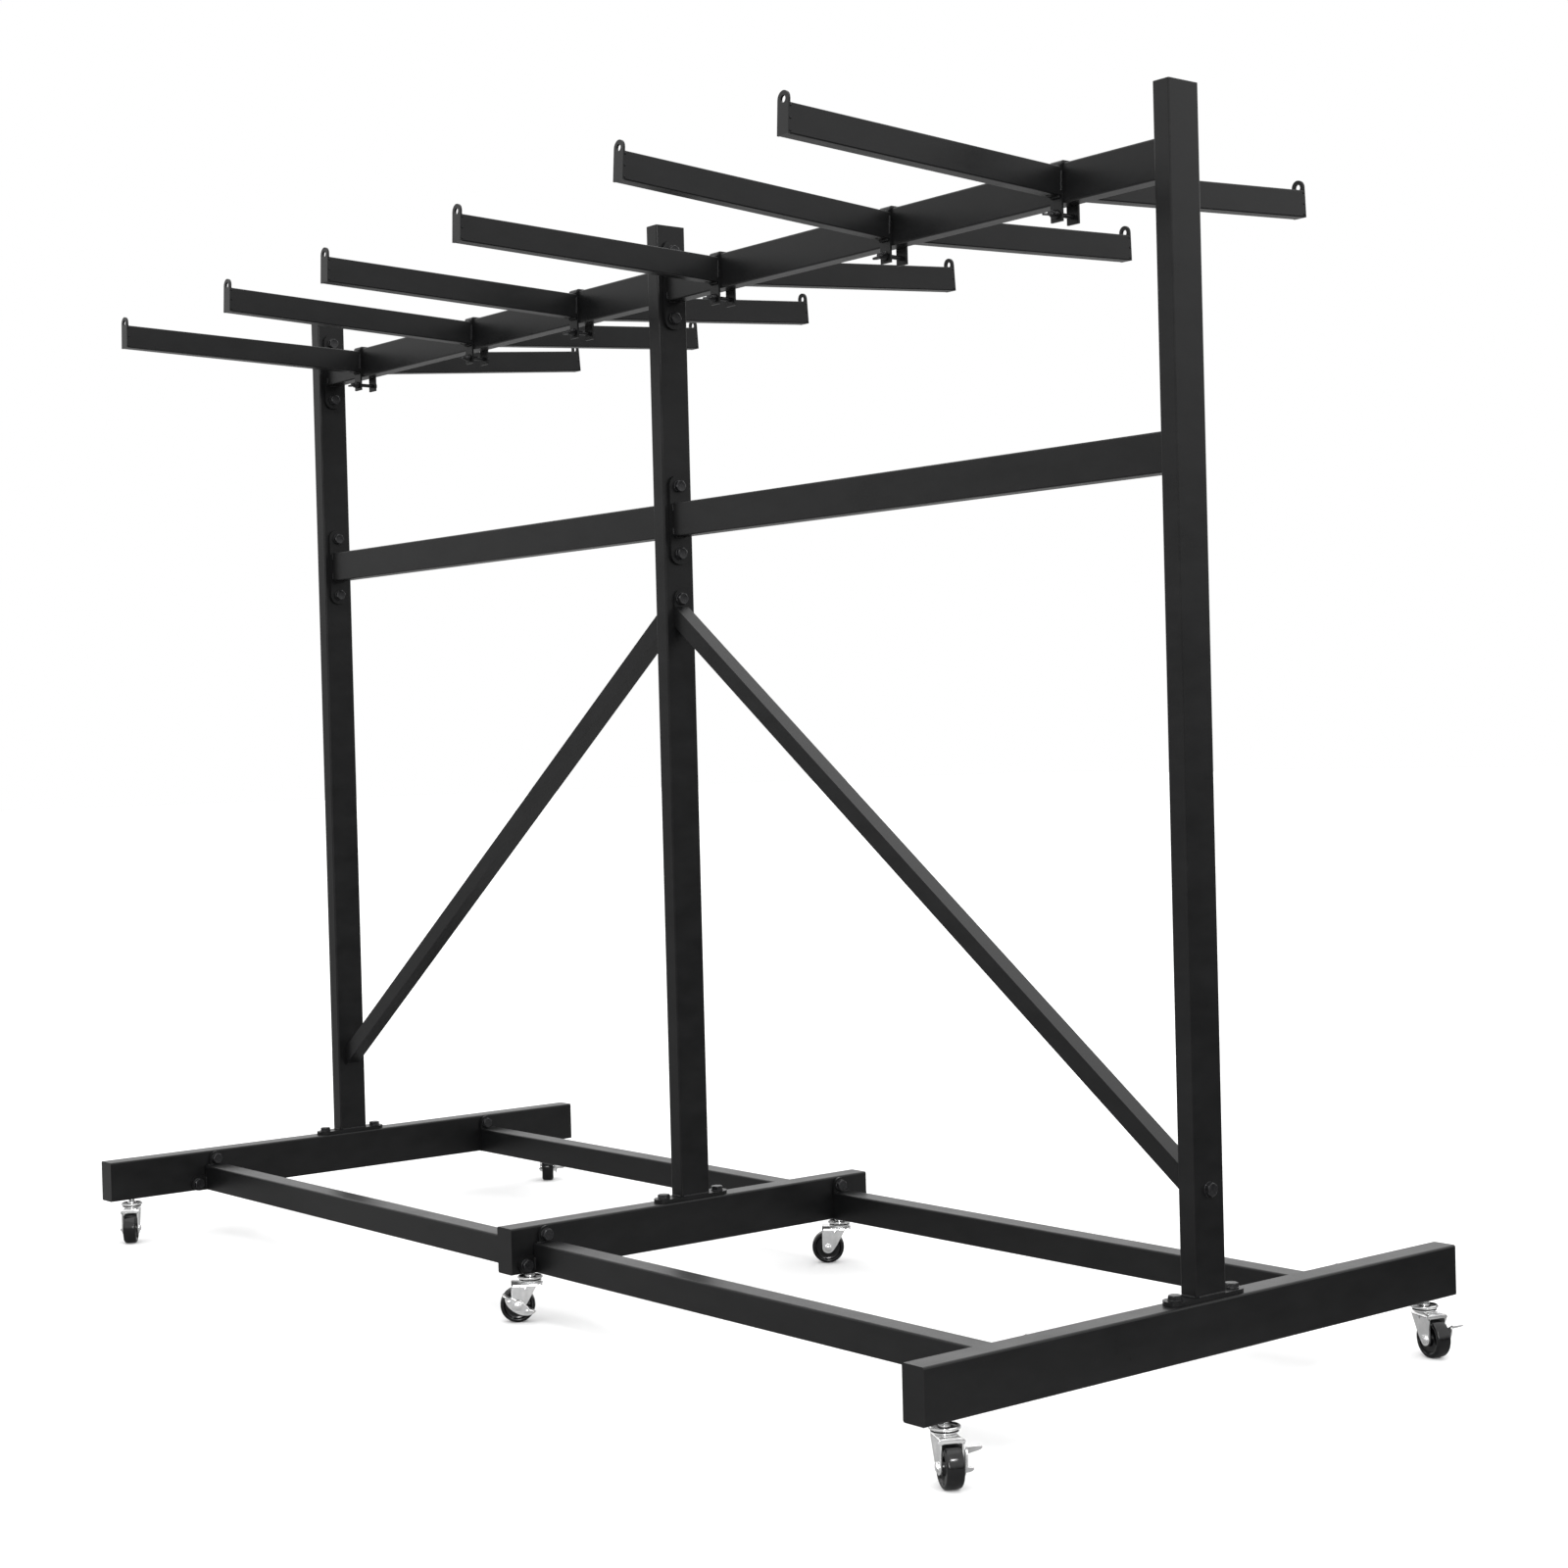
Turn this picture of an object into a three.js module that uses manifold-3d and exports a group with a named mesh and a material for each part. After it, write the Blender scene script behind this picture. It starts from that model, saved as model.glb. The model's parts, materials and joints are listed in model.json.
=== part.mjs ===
// Mobile saddle rack: three feet on casters carry three uprights, joined by base rails, mid rails
// and a top beam in two bays. Six pairs of arms are clamped over the top beam with wing nuts, and
// each pair slides along it. Millimetres, +Z up, +X along the rack, origin on the floor at the centre.
import * as THREE from 'three';
import { mergeVertices } from 'three/addons/utils/BufferGeometryUtils.js';
import Module from 'manifold-3d';

const wasm = await Module();
wasm.setup();

// ---------------------------------------------------------------- driving dimensions
const GAP = 0.3; // clearance left between pieces that touch
const BAY = 1018; // upright to upright
const FOOT_CLEARANCE = 73; // floor to the underside of the feet and base rails

const FOOT = { width: 36, height: 66, corner: 2.5, wall: 2, outerHalf: 469.5, middleHalf: 333 };
const UPRIGHT = { x: 26, y: 52, corner: 2, wall: 1.5, top: 1519.5 };
const FOOT_PLATE = { length: 130, width: 30, thickness: 5 };
const BASE_RAIL = { width: 34, height: 42, corner: 2, wall: 1.5, y: 280 };
const TAB = { width: 25, thickness: 4, reach: 26.5, inset: 4, height: 64.5 }; // L-shaped rail end plate
const BEAM = { width: 25, height: 50, corner: 2, wall: 1.5, centre: 1431 };
const MID_RAIL_CENTRE = 1081.5;
const END_PLATE = { width: 34, height: 132, corner: 14, thickness: 4 };
const BRACE = { side: 25, wall: 1.5, upperCentre: 939, lowerCentre: 203.5, plate: 3, tabTop: 978 };
const BRACE_BOLT = { z: 198.5, hole: 9 };

const ARM = { x: 20, height: 36.5, corner: 1.5, wall: 1.5, tipY: 453, topBelowBeam: 5 };
const ARM_TILT = 2.95; // degrees that the arms rise towards their tips
// where each pair sits along the beam, and how many degrees that tips its rear arm up and its front arm down
const ARM_PAIRS = [
  { x: -889, roll: 1.65 },
  { x: -526, roll: 0.73 },
  { x: -223, roll: 0.9 },
  { x: 136, roll: 0.95 },
  { x: 510, roll: -0.73 },
  { x: 831, roll: 0.15 },
];
const TIP = { thickness: 3, holeRise: 4.5, hole: 9 };
const BEAD = { root: 3, tipReach: 1.2, tipHeight: 0.6, depth: 0.8 }; // welds across an arm's top face
const STRAP = { thickness: 3, width: 20, outerRadius: 4.5, drop: 22.5 };
const CLAMP = { diameter: 6, hole: 6.6, drop: 13, headFlats: 10, headHeight: 4, tail: 29 };
const WING = { hubRadius: 5.8, hubHeight: 8, thickness: 2.6, span: 28, rise: 13 };

const WHEEL = { radius: 25, width: 21, bore: 8.8, sides: 20 };
const TRAIL = 18.6; // stem axis to axle
const STEM = { diameter: 10, disc: 36, discLow: 61.3, discHigh: 65.5, top: 106 };
const RIVET = { diameter: 16, low: 52.3, high: 55.3 };
const FORK = {
  gap: 23.5, sheet: 2.2, crownLow: 55.6, crownHigh: 57.8, corner: 3,
  front: -16, back: 27.6, legFront: -8, lipLow: 52.3,
};
const RACE = { diameter: 32, bore: 10.6, top: 61 };
const AXLE = { diameter: 8, head: 12, headHeight: 3.2, eye: 9 };
const BRAKE = {
  low: 14.25, sheet: 2, radius: 16.9, discX: 1, discZ: 1.4, edge: 6.4,
  front: 28.5, pressWidth: 17, pressReach: 18,
  rear: 27, liftWidth: 15, liftReach: 13,
};

// x and y of each caster's stem, the way its wheel trails, and how many degrees its brake lever is
// raised: 30 is pressed down, 48 is released, 0 is a caster without a brake
const CASTERS = [
  { name: 'left_front', x: -BAY, y: -425, trail: -33, lever: 0 },
  { name: 'left_rear', x: -BAY, y: 425, trail: -34, lever: 30 },
  { name: 'middle_front', x: 0, y: -291, trail: -123, lever: 30 },
  { name: 'middle_rear', x: 0, y: 291, trail: -130, lever: 0 },
  { name: 'right_front', x: BAY, y: -425, trail: -26, lever: 48 },
  { name: 'right_rear', x: BAY, y: 425, trail: -17, lever: 30 },
];

// ---------------------------------------------------------------- materials
const powderBlack = new THREE.MeshStandardMaterial({ color: 0x24262a, roughness: 0.55, metalness: 0.2 });
const brightZinc = new THREE.MeshStandardMaterial({ color: 0xc9cbcd, roughness: 0.28, metalness: 1.0 });
const tyreBlack = new THREE.MeshStandardMaterial({ color: 0x141416, roughness: 0.3, metalness: 0.0 });

// ---------------------------------------------------------------- solids
function solid(geometry) {
  const bare = geometry.clone();
  bare.deleteAttribute('normal');
  bare.deleteAttribute('uv');
  const merged = mergeVertices(bare, 1e-4);
  const vertProperties = Float32Array.from(merged.attributes.position.array);
  const triVerts = Uint32Array.from(merged.index.array);
  return new wasm.Manifold(new wasm.Mesh({ numProp: 3, vertProperties, triVerts }));
}

function surface(body) {
  const cut = body.getMesh();
  const geometry = new THREE.BufferGeometry();
  geometry.setAttribute('position', new THREE.BufferAttribute(Float32Array.from(cut.vertProperties), 3));
  geometry.setIndex(new THREE.BufferAttribute(Uint32Array.from(cut.triVerts), 1));
  geometry.computeVertexNormals();
  return geometry;
}

function join(bodies) {
  return bodies.reduce((whole, next) => whole.add(next));
}

function box(width, depth, height, x = 0, y = 0, z = 0) {
  const geometry = new THREE.BoxGeometry(width, depth, height);
  geometry.translate(x, y, z);
  return solid(geometry);
}

const AXES = {
  // columns say where a drawing's right, up and depth go
  x: [new THREE.Vector3(0, 1, 0), new THREE.Vector3(0, 0, 1), new THREE.Vector3(1, 0, 0)],
  y: [new THREE.Vector3(1, 0, 0), new THREE.Vector3(0, 0, 1), new THREE.Vector3(0, -1, 0)],
  z: [new THREE.Vector3(1, 0, 0), new THREE.Vector3(0, 1, 0), new THREE.Vector3(0, 0, 1)],
};

// A drawing pushed along an axis from low to high. On x the drawing is (y, z), on y it is (x, z).
// ExtrudeGeometry draws each arc of a shape in twice as many steps as curveSegments.
function prism(shape, axis, low, high, arcSteps = 2) {
  const geometry = new THREE.ExtrudeGeometry(shape, {
    depth: high - low,
    bevelEnabled: false,
    curveSegments: arcSteps / 2,
  });
  geometry.translate(0, 0, axis === 'y' ? -high : low);
  geometry.applyMatrix4(new THREE.Matrix4().makeBasis(...AXES[axis]));
  return solid(geometry);
}

function rod(radius, axis, low, high, across = 0, up = 0, sides = 16) {
  const circle = new THREE.Shape();
  circle.absarc(across, up, radius, 0, 2 * Math.PI);
  return prism(circle, axis, low, high, sides);
}

function roundedRectangle(width, height, radius, x = 0, y = 0) {
  const shape = new THREE.Shape();
  const right = width / 2 - radius;
  const top = height / 2 - radius;
  shape.absarc(x + right, y + top, radius, 0, Math.PI / 2);
  shape.absarc(x - right, y + top, radius, Math.PI / 2, Math.PI);
  shape.absarc(x - right, y - top, radius, Math.PI, 1.5 * Math.PI);
  shape.absarc(x + right, y - top, radius, 1.5 * Math.PI, 2 * Math.PI);
  shape.closePath();
  return shape;
}

function lathe(profile, sides) {
  const points = profile.map(([radius, height]) => new THREE.Vector2(radius, height));
  const geometry = new THREE.LatheGeometry(points, sides, Math.PI / sides);
  geometry.rotateX(Math.PI / 2);
  return geometry;
}

// ---------------------------------------------------------------- frame pieces
// A foot is a closed tube along Y with a hole underneath for each caster stem.
function footBody(half, stemY) {
  const outline = roundedRectangle(FOOT.width, FOOT.height, FOOT.corner, 0, FOOT.height / 2);
  const outer = prism(outline, 'y', -half, half);
  const inside = 2 * FOOT.wall;
  const bore = box(FOOT.width - inside, 2 * half - inside, FOOT.height - inside, 0, 0, FOOT.height / 2);
  const stemHoles = [-stemY, stemY].map((y) => rod(RACE.bore / 2, 'z', -1, FOOT.wall + 1, 0, y));
  return surface(outer.subtract(bore).subtract(join(stemHoles)));
}

// An upright is a capped tube on a round-ended foot plate, open underneath through the plate.
function uprightBody() {
  const plateLow = FOOT.height + GAP;
  const plateHigh = plateLow + FOOT_PLATE.thickness;
  const plateShape = roundedRectangle(FOOT_PLATE.width, FOOT_PLATE.length, FOOT_PLATE.width / 2 - 0.01);
  const plate = prism(plateShape, 'z', plateLow, plateHigh, 6);
  const section = roundedRectangle(UPRIGHT.x, UPRIGHT.y, UPRIGHT.corner);
  const outer = prism(section, 'z', plateHigh - 1, UPRIGHT.top);
  const inside = 2 * UPRIGHT.wall;
  const boreTop = UPRIGHT.top - UPRIGHT.wall;
  const bore = box(
    UPRIGHT.x - inside,
    UPRIGHT.y - inside,
    boreTop - plateHigh,
    0,
    0,
    (boreTop + plateHigh) / 2,
  );
  const drain = rod(UPRIGHT.x / 4, 'z', plateLow - 1, plateHigh + 1, 0, 0, 12);
  return surface(plate.add(outer).subtract(bore).subtract(drain));
}

// The L-shaped plate at a base rail's end: an upper tab over the rail and a lower tab outside it.
function railTabShape(outward) {
  const radius = TAB.width / 2;
  const railFace = BASE_RAIL.width / 2;
  const shape = new THREE.Shape();
  const upperY = -TAB.inset;
  const lowerY = railFace + TAB.reach - radius;
  shape.moveTo(upperY - radius, 0);
  shape.lineTo(lowerY, 0);
  shape.absarc(lowerY, radius, radius, -Math.PI / 2, Math.PI / 2);
  shape.lineTo(upperY + radius, TAB.width);
  shape.lineTo(upperY + radius, TAB.height - radius);
  shape.absarc(upperY, TAB.height - radius, radius, 0, Math.PI);
  shape.closePath();
  const points = shape.extractPoints(4).shape.map((point) => new THREE.Vector2(outward * point.x, point.y));
  return new THREE.Shape(outward > 0 ? points : points.reverse());
}

// A base rail runs from one foot's side to the next, with a tabbed plate welded on each end.
function baseRailBody(outward) {
  const half = BAY / 2 - FOOT.width / 2 - GAP;
  const tubeHalf = half - TAB.thickness;
  const centre = BASE_RAIL.height / 2;
  const outline = roundedRectangle(BASE_RAIL.width, BASE_RAIL.height, BASE_RAIL.corner, 0, centre);
  const outer = prism(outline, 'x', -tubeHalf - 1, tubeHalf + 1);
  const inside = 2 * BASE_RAIL.wall;
  const bore = box(2 * tubeHalf, BASE_RAIL.width - inside, BASE_RAIL.height - inside, 0, 0, centre);
  const tabs = [-half, half - TAB.thickness].map((x) =>
    prism(railTabShape(outward), 'x', x, x + TAB.thickness),
  );
  const vents = rod(TAB.width / 4, 'x', -half - 1, half + 1, -outward * TAB.inset, centre, 8);
  return surface(join([outer, ...tabs]).subtract(bore).subtract(vents));
}

// A beam between two uprights, with a round-ended bolting plate on each end.
function beamBody() {
  const half = BAY / 2 - UPRIGHT.x / 2 - GAP;
  const tubeHalf = half - END_PLATE.thickness;
  const section = roundedRectangle(BEAM.width, BEAM.height, BEAM.corner);
  const outer = prism(section, 'x', -tubeHalf - 1, tubeHalf + 1);
  const inside = 2 * BEAM.wall;
  const bore = box(2 * tubeHalf, BEAM.width - inside, BEAM.height - inside);
  const plateShape = roundedRectangle(END_PLATE.width, END_PLATE.height, END_PLATE.corner);
  const plates = [-half, half - END_PLATE.thickness].map((x) =>
    prism(plateShape, 'x', x, x + END_PLATE.thickness, 4),
  );
  const vents = rod(BEAM.width / 4, 'x', -half - 1, half + 1, 0, 0, 8);
  return surface(join([outer, ...plates]).subtract(bore).subtract(vents));
}

// A slanting square tube from the middle upright down to an outer one, drawn towards +X.
function braceBody() {
  const near = UPRIGHT.x / 2 + GAP;
  const far = BAY - near;
  const slope = (BRACE.lowerCentre - BRACE.upperCentre) / (far - near);
  const upright = Math.hypot(1, slope);
  const slantedBar = (side, low, high) => {
    const rise = (side / 2) * upright;
    const middle = (x) => BRACE.upperCentre + slope * (x - near);
    const shape = new THREE.Shape();
    shape.moveTo(low, middle(low) - rise);
    shape.lineTo(high, middle(high) - rise);
    shape.lineTo(high, middle(high) + rise);
    shape.lineTo(low, middle(low) + rise);
    shape.closePath();
    return prism(shape, 'y', -side / 2, side / 2);
  };
  const outer = slantedBar(BRACE.side, near + BRACE.plate / 2, far - BRACE.plate / 2);
  const bore = slantedBar(BRACE.side - 2 * BRACE.wall, near + BRACE.plate, far - BRACE.plate);
  const endRise = (BRACE.side / 2) * upright;
  const tabLow = BRACE.upperCentre - endRise;
  const tab = new THREE.Shape();
  tab.moveTo(-BRACE.side / 2, tabLow);
  tab.lineTo(BRACE.side / 2, tabLow);
  tab.absarc(0, BRACE.tabTop - BRACE.side / 2, BRACE.side / 2, 0, Math.PI);
  tab.closePath();
  const upperPlate = prism(tab, 'x', near, near + BRACE.plate, 10);
  const lowerHeight = 2 * endRise;
  const lowerPlate = box(
    BRACE.plate,
    BRACE.side,
    lowerHeight,
    far - BRACE.plate / 2,
    0,
    BRACE.lowerCentre,
  );
  const boltHole = rod(BRACE_BOLT.hole / 2, 'x', far - 2 * BRACE.plate, far + 1, 0, BRACE_BOLT.z, 12);
  return surface(join([outer, upperPlate, lowerPlate]).subtract(bore).subtract(boltHole));
}

// ---------------------------------------------------------------- arms and their clamps
const STRAP_INNER = BEAM.width / 2 + GAP;
const STRAP_OUTER = STRAP_INNER + STRAP.thickness;
const STRAP_TOP = BEAM.height / 2 + GAP + STRAP.thickness;
const STRAP_LOW = -BEAM.height / 2 - STRAP.drop;
const CLAMP_Z = -BEAM.height / 2 - CLAMP.drop;

function strapBody() {
  const inner = STRAP.outerRadius - STRAP.thickness;
  const shoulder = STRAP_TOP - STRAP.outerRadius;
  const shape = new THREE.Shape();
  shape.moveTo(STRAP_INNER, STRAP_LOW);
  shape.lineTo(STRAP_OUTER, STRAP_LOW);
  shape.absarc(STRAP_OUTER - STRAP.outerRadius, shoulder, STRAP.outerRadius, 0, Math.PI / 2);
  shape.absarc(-STRAP_OUTER + STRAP.outerRadius, shoulder, STRAP.outerRadius, Math.PI / 2, Math.PI);
  shape.lineTo(-STRAP_OUTER, STRAP_LOW);
  shape.lineTo(-STRAP_INNER, STRAP_LOW);
  shape.absarc(-STRAP_INNER + inner, shoulder, inner, Math.PI, Math.PI / 2, true);
  shape.absarc(STRAP_INNER - inner, shoulder, inner, Math.PI / 2, 0, true);
  shape.closePath();
  const strap = prism(shape, 'x', -STRAP.width / 2, STRAP.width / 2, 4);
  return strap.subtract(rod(CLAMP.hole / 2, 'y', -STRAP_OUTER - 1, STRAP_OUTER + 1, 0, CLAMP_Z, 12));
}

// A weld bead across an arm's top face, in the corner at y. Toward is 1 or -1, where the face lies.
function beadBody(y, toward, reach, height) {
  const top = ARM.height / 2;
  const width = ARM.x - 2 * ARM.corner + 1;
  const shape = new THREE.Shape();
  shape.moveTo(y - toward * BEAD.depth, top - BEAD.depth);
  shape.lineTo(y + toward * reach, top - BEAD.depth);
  shape.lineTo(y + toward * reach, top);
  shape.lineTo(y, top + height);
  shape.lineTo(y - toward * BEAD.depth, top + height);
  shape.closePath();
  return prism(shape, 'x', -width / 2, width / 2);
}

// One arm with its tip plate and lug, towards +Y from the middle of the strap's leg.
function armBody(tiltDegrees) {
  const tilt = THREE.MathUtils.degToRad(tiltDegrees);
  const root = (STRAP_INNER + STRAP_OUTER) / 2;
  const strapFace = (STRAP_OUTER - root + (ARM.height / 2) * Math.sin(tilt)) / Math.cos(tilt);
  const rise = BEAM.height / 2 - ARM.topBelowBeam - ARM.height / 2;
  const tubeEnd = (ARM.tipY - root) / Math.cos(tilt) - TIP.thickness;
  const tube = prism(roundedRectangle(ARM.x, ARM.height, ARM.corner), 'y', 0, tubeEnd + 1, 2);
  const closedEnd = STRAP.thickness + 1;
  const boreLength = tubeEnd - closedEnd;
  const bore = box(
    ARM.x - 2 * ARM.wall,
    boreLength,
    ARM.height - 2 * ARM.wall,
    0,
    closedEnd + boreLength / 2,
    0,
  );
  const lugCentre = ARM.height / 2 + TIP.holeRise;
  const tip = new THREE.Shape();
  tip.moveTo(-ARM.x / 2, -ARM.height / 2);
  tip.lineTo(ARM.x / 2, -ARM.height / 2);
  tip.absarc(0, lugCentre, ARM.x / 2, 0, Math.PI);
  tip.closePath();
  const plate = prism(tip, 'y', tubeEnd, tubeEnd + TIP.thickness, 10);
  const hole = rod(TIP.hole / 2, 'y', tubeEnd - 1, tubeEnd + TIP.thickness + 1, 0, lugCentre, 12);
  const ventRadius = 2.5;
  const vent = rod(ventRadius, 'z', -ARM.height / 2 - 1, -ARM.height / 4, 0, 6 * ventRadius, 8);
  const beads = [
    beadBody(strapFace, 1, BEAD.root, BEAD.root),
    beadBody(tubeEnd, -1, BEAD.tipReach, BEAD.tipHeight),
  ];
  const level = join([tube, plate, ...beads]).subtract(bore).subtract(hole).subtract(vent);
  return level.rotate([tiltDegrees, 0, 0]).translate([0, root, rise]);
}

function armPairBody(roll) {
  const rear = armBody(ARM_TILT + roll);
  const front = armBody(ARM_TILT - roll).rotate([0, 0, 180]);
  return surface(join([strapBody(), rear, front]));
}

// The clamp bolt crosses under the beam: hex head towards +Y, threaded tail towards -Y.
function clampBoltBody() {
  const seat = STRAP_OUTER + GAP;
  const headRadius = CLAMP.headFlats / Math.sqrt(3);
  const head = rod(headRadius, 'y', seat, seat + CLAMP.headHeight, 0, 0, 6);
  return surface(head.add(rod(CLAMP.diameter / 2, 'y', -CLAMP.tail, seat + 1, 0, 0, 12)));
}

// A wing nut drawn on its own axis, +Z, with its wings along Y and swept up.
function wingNutBody() {
  const hub = rod(WING.hubRadius, 'z', 0, WING.hubHeight, 0, 0, 16);
  const tip = WING.span / 2;
  const wing = (side) => {
    const shape = new THREE.Shape();
    const outline = [
      [WING.hubRadius - 2.5, 0.6],
      [WING.hubRadius + 2.2, 1.2],
      [tip - 1.6, WING.rise - 5.2],
      [tip, WING.rise - 2.2],
      [tip - 1.0, WING.rise - 0.4],
      [tip - 3.0, WING.rise],
      [tip - 5.4, WING.rise - 1.6],
      [WING.hubRadius + 0.6, WING.hubHeight - 0.6],
      [WING.hubRadius - 2.5, WING.hubHeight - 0.6],
    ];
    const points = outline.map(([y, z]) => new THREE.Vector2(side * y, z));
    shape.setFromPoints(side > 0 ? points : points.reverse());
    return prism(shape, 'x', -WING.thickness / 2, WING.thickness / 2);
  };
  const bore = rod(CLAMP.hole / 2, 'z', -1, WING.hubHeight + 1, 0, 0, 12);
  return surface(join([hub, wing(1), wing(-1)]).subtract(bore));
}

// ---------------------------------------------------------------- casters
// Stem, top disc and the rivet that the fork turns on, in one turned piece.
function stemBody() {
  const pin = STEM.diameter / 2;
  const profile = [
    [0, RIVET.low],
    [RIVET.diameter / 2, RIVET.low],
    [RIVET.diameter / 2, RIVET.high],
    [pin, RIVET.high],
    [pin, STEM.discLow],
    [STEM.disc / 2, STEM.discLow],
    [STEM.disc / 2, STEM.discHigh],
    [pin, STEM.discHigh],
    [pin, STEM.top],
    [0, STEM.top],
  ];
  return surface(solid(lathe(profile, 14)));
}

// A stamped fork with its swivel race and axle, drawn with the wheel trailing towards +X.
function forkBody(hasBrake) {
  const outer = FORK.gap / 2 + FORK.sheet;
  const cornerHigh = FORK.crownLow - 4;
  const toCorner = new THREE.Vector2(FORK.legFront - TRAIL, cornerHigh - WHEEL.radius);
  const tangent = toCorner.angle() + Math.acos(AXLE.eye / toCorner.length());
  const leg = new THREE.Shape();
  leg.moveTo(FORK.back, FORK.crownHigh);
  leg.absarc(TRAIL, WHEEL.radius, AXLE.eye, 0, tangent - 2 * Math.PI, true);
  leg.lineTo(FORK.legFront, cornerHigh);
  leg.lineTo(FORK.legFront - 1, FORK.crownHigh);
  leg.closePath();
  const legs = [-outer, FORK.gap / 2].map((y) => prism(leg, 'y', y, y + FORK.sheet, 8));
  const crownLength = FORK.back - FORK.front;
  const crownMiddle = (FORK.back + FORK.front) / 2;
  const crownShape = roundedRectangle(crownLength, 2 * outer, FORK.corner, crownMiddle, 0);
  const crown = prism(crownShape, 'z', FORK.crownLow, FORK.crownHigh);
  const lipHigh = FORK.crownHigh - FORK.sheet / 2;
  const lip = (x, width) => box(FORK.sheet, width, lipHigh - FORK.lipLow, x, 0, (lipHigh + FORK.lipLow) / 2);
  const lips = [
    lip(FORK.front + FORK.sheet / 2, 2 * (outer - FORK.corner)),
    lip(FORK.back - FORK.sheet / 2, 2 * outer),
  ];
  const race = rod(RACE.diameter / 2, 'z', FORK.crownHigh - 1, RACE.top, 0, 0, 16);
  const raceBore = rod(RACE.bore / 2, 'z', FORK.crownLow - 1, RACE.top + 1, 0, 0, 12);
  const headSeat = hasBrake ? BRAKE.low + BRAKE.sheet + GAP : outer;
  const headRadius = AXLE.head / 2;
  const axle = [
    rod(AXLE.diameter / 2, 'y', -outer, headSeat + 1, TRAIL, WHEEL.radius, 12),
    rod(headRadius, 'y', headSeat, headSeat + AXLE.headHeight, TRAIL, WHEEL.radius, 12),
    rod(headRadius, 'y', -outer - AXLE.headHeight, -outer + 0.5, TRAIL, WHEEL.radius, 12),
  ];
  return surface(join([...legs, ...lips, crown, race]).subtract(raceBore).add(join(axle)));
}

// A wheel with a rounded tread and a raised hub, drawn on its axis along Z. Its sides are flats at
// the wheel's radius, so it stands on a flat.
function wheelBody() {
  const tread = WHEEL.radius / Math.cos(Math.PI / WHEEL.sides);
  const half = WHEEL.width / 2;
  const bore = WHEEL.bore / 2;
  const halfProfile = [
    [tread, half - 3],
    [tread - 3, half],
    [bore + 4, half],
    [bore + 4, half + 0.6],
    [bore, half + 0.6],
  ];
  const lower = halfProfile.map(([radius, height]) => [radius, -height]).reverse();
  const profile = [...lower, ...halfProfile, lower[0]];
  return surface(solid(lathe(profile, WHEEL.sides)));
}

// The brake lever: a part disc on the axle outside the fork's leg, with two tabs bent outwards.
// It is drawn with its straight edge level, +X towards the tab that the foot presses.
function brakeBody() {
  const high = BRAKE.low + BRAKE.sheet;
  const edgeLow = BRAKE.edge - BRAKE.sheet;
  const chordAngle = Math.asin((BRAKE.edge - BRAKE.discZ) / BRAKE.radius);
  const disc = new THREE.Shape();
  disc.absarc(BRAKE.discX, BRAKE.discZ, BRAKE.radius, Math.PI - chordAngle, 2 * Math.PI + chordAngle);
  disc.closePath();
  const strip = new THREE.Shape();
  strip.moveTo(-BRAKE.rear, edgeLow);
  strip.lineTo(BRAKE.front, edgeLow);
  strip.lineTo(BRAKE.front, BRAKE.edge);
  strip.lineTo(-BRAKE.rear, BRAKE.edge);
  strip.closePath();
  const tongue = (inner, outer, reach) => {
    const radius = Math.abs(outer - inner) / 2;
    const middle = (outer + inner) / 2;
    const shape = new THREE.Shape();
    shape.moveTo(middle - radius, BRAKE.low);
    shape.lineTo(middle + radius, BRAKE.low);
    shape.absarc(middle, high + reach - radius, radius, 0, Math.PI);
    shape.closePath();
    return prism(shape, 'z', edgeLow, BRAKE.edge, 8);
  };
  const plate = prism(disc, 'y', BRAKE.low, high, 12).add(prism(strip, 'y', BRAKE.low, high));
  const pressTab = tongue(BRAKE.front - BRAKE.pressWidth, BRAKE.front, BRAKE.pressReach);
  const liftTab = tongue(-BRAKE.rear, -BRAKE.rear + BRAKE.liftWidth, BRAKE.liftReach);
  const eye = rod(WHEEL.bore / 2, 'y', BRAKE.low - 1, high + 1, 0, 0, 12);
  return surface(join([plate, pressTab, liftTab]).subtract(eye));
}

// ---------------------------------------------------------------- assembly
function piece(name, geometry, material) {
  const mesh = new THREE.Mesh(geometry, material);
  mesh.name = name;
  return mesh;
}

function place(object, x, y, z) {
  object.position.set(x, y, z);
  return object;
}

const rack = new THREE.Group();
const frame = place(new THREE.Group(), 0, 0, FOOT_CLEARANCE);
rack.add(frame);

const outerFoot = footBody(FOOT.outerHalf, CASTERS[0].y);
const middleFoot = footBody(FOOT.middleHalf, CASTERS[2].y);
const upright = uprightBody();
const columns = { left: -BAY, middle: 0, right: BAY };
for (const [side, x] of Object.entries(columns)) {
  const foot = side === 'middle' ? middleFoot : outerFoot;
  frame.add(place(piece(`foot_${side}`, foot, powderBlack), x, 0, 0));
  frame.add(place(piece(`upright_${side}`, upright, powderBlack), x, 0, 0));
}

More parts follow.
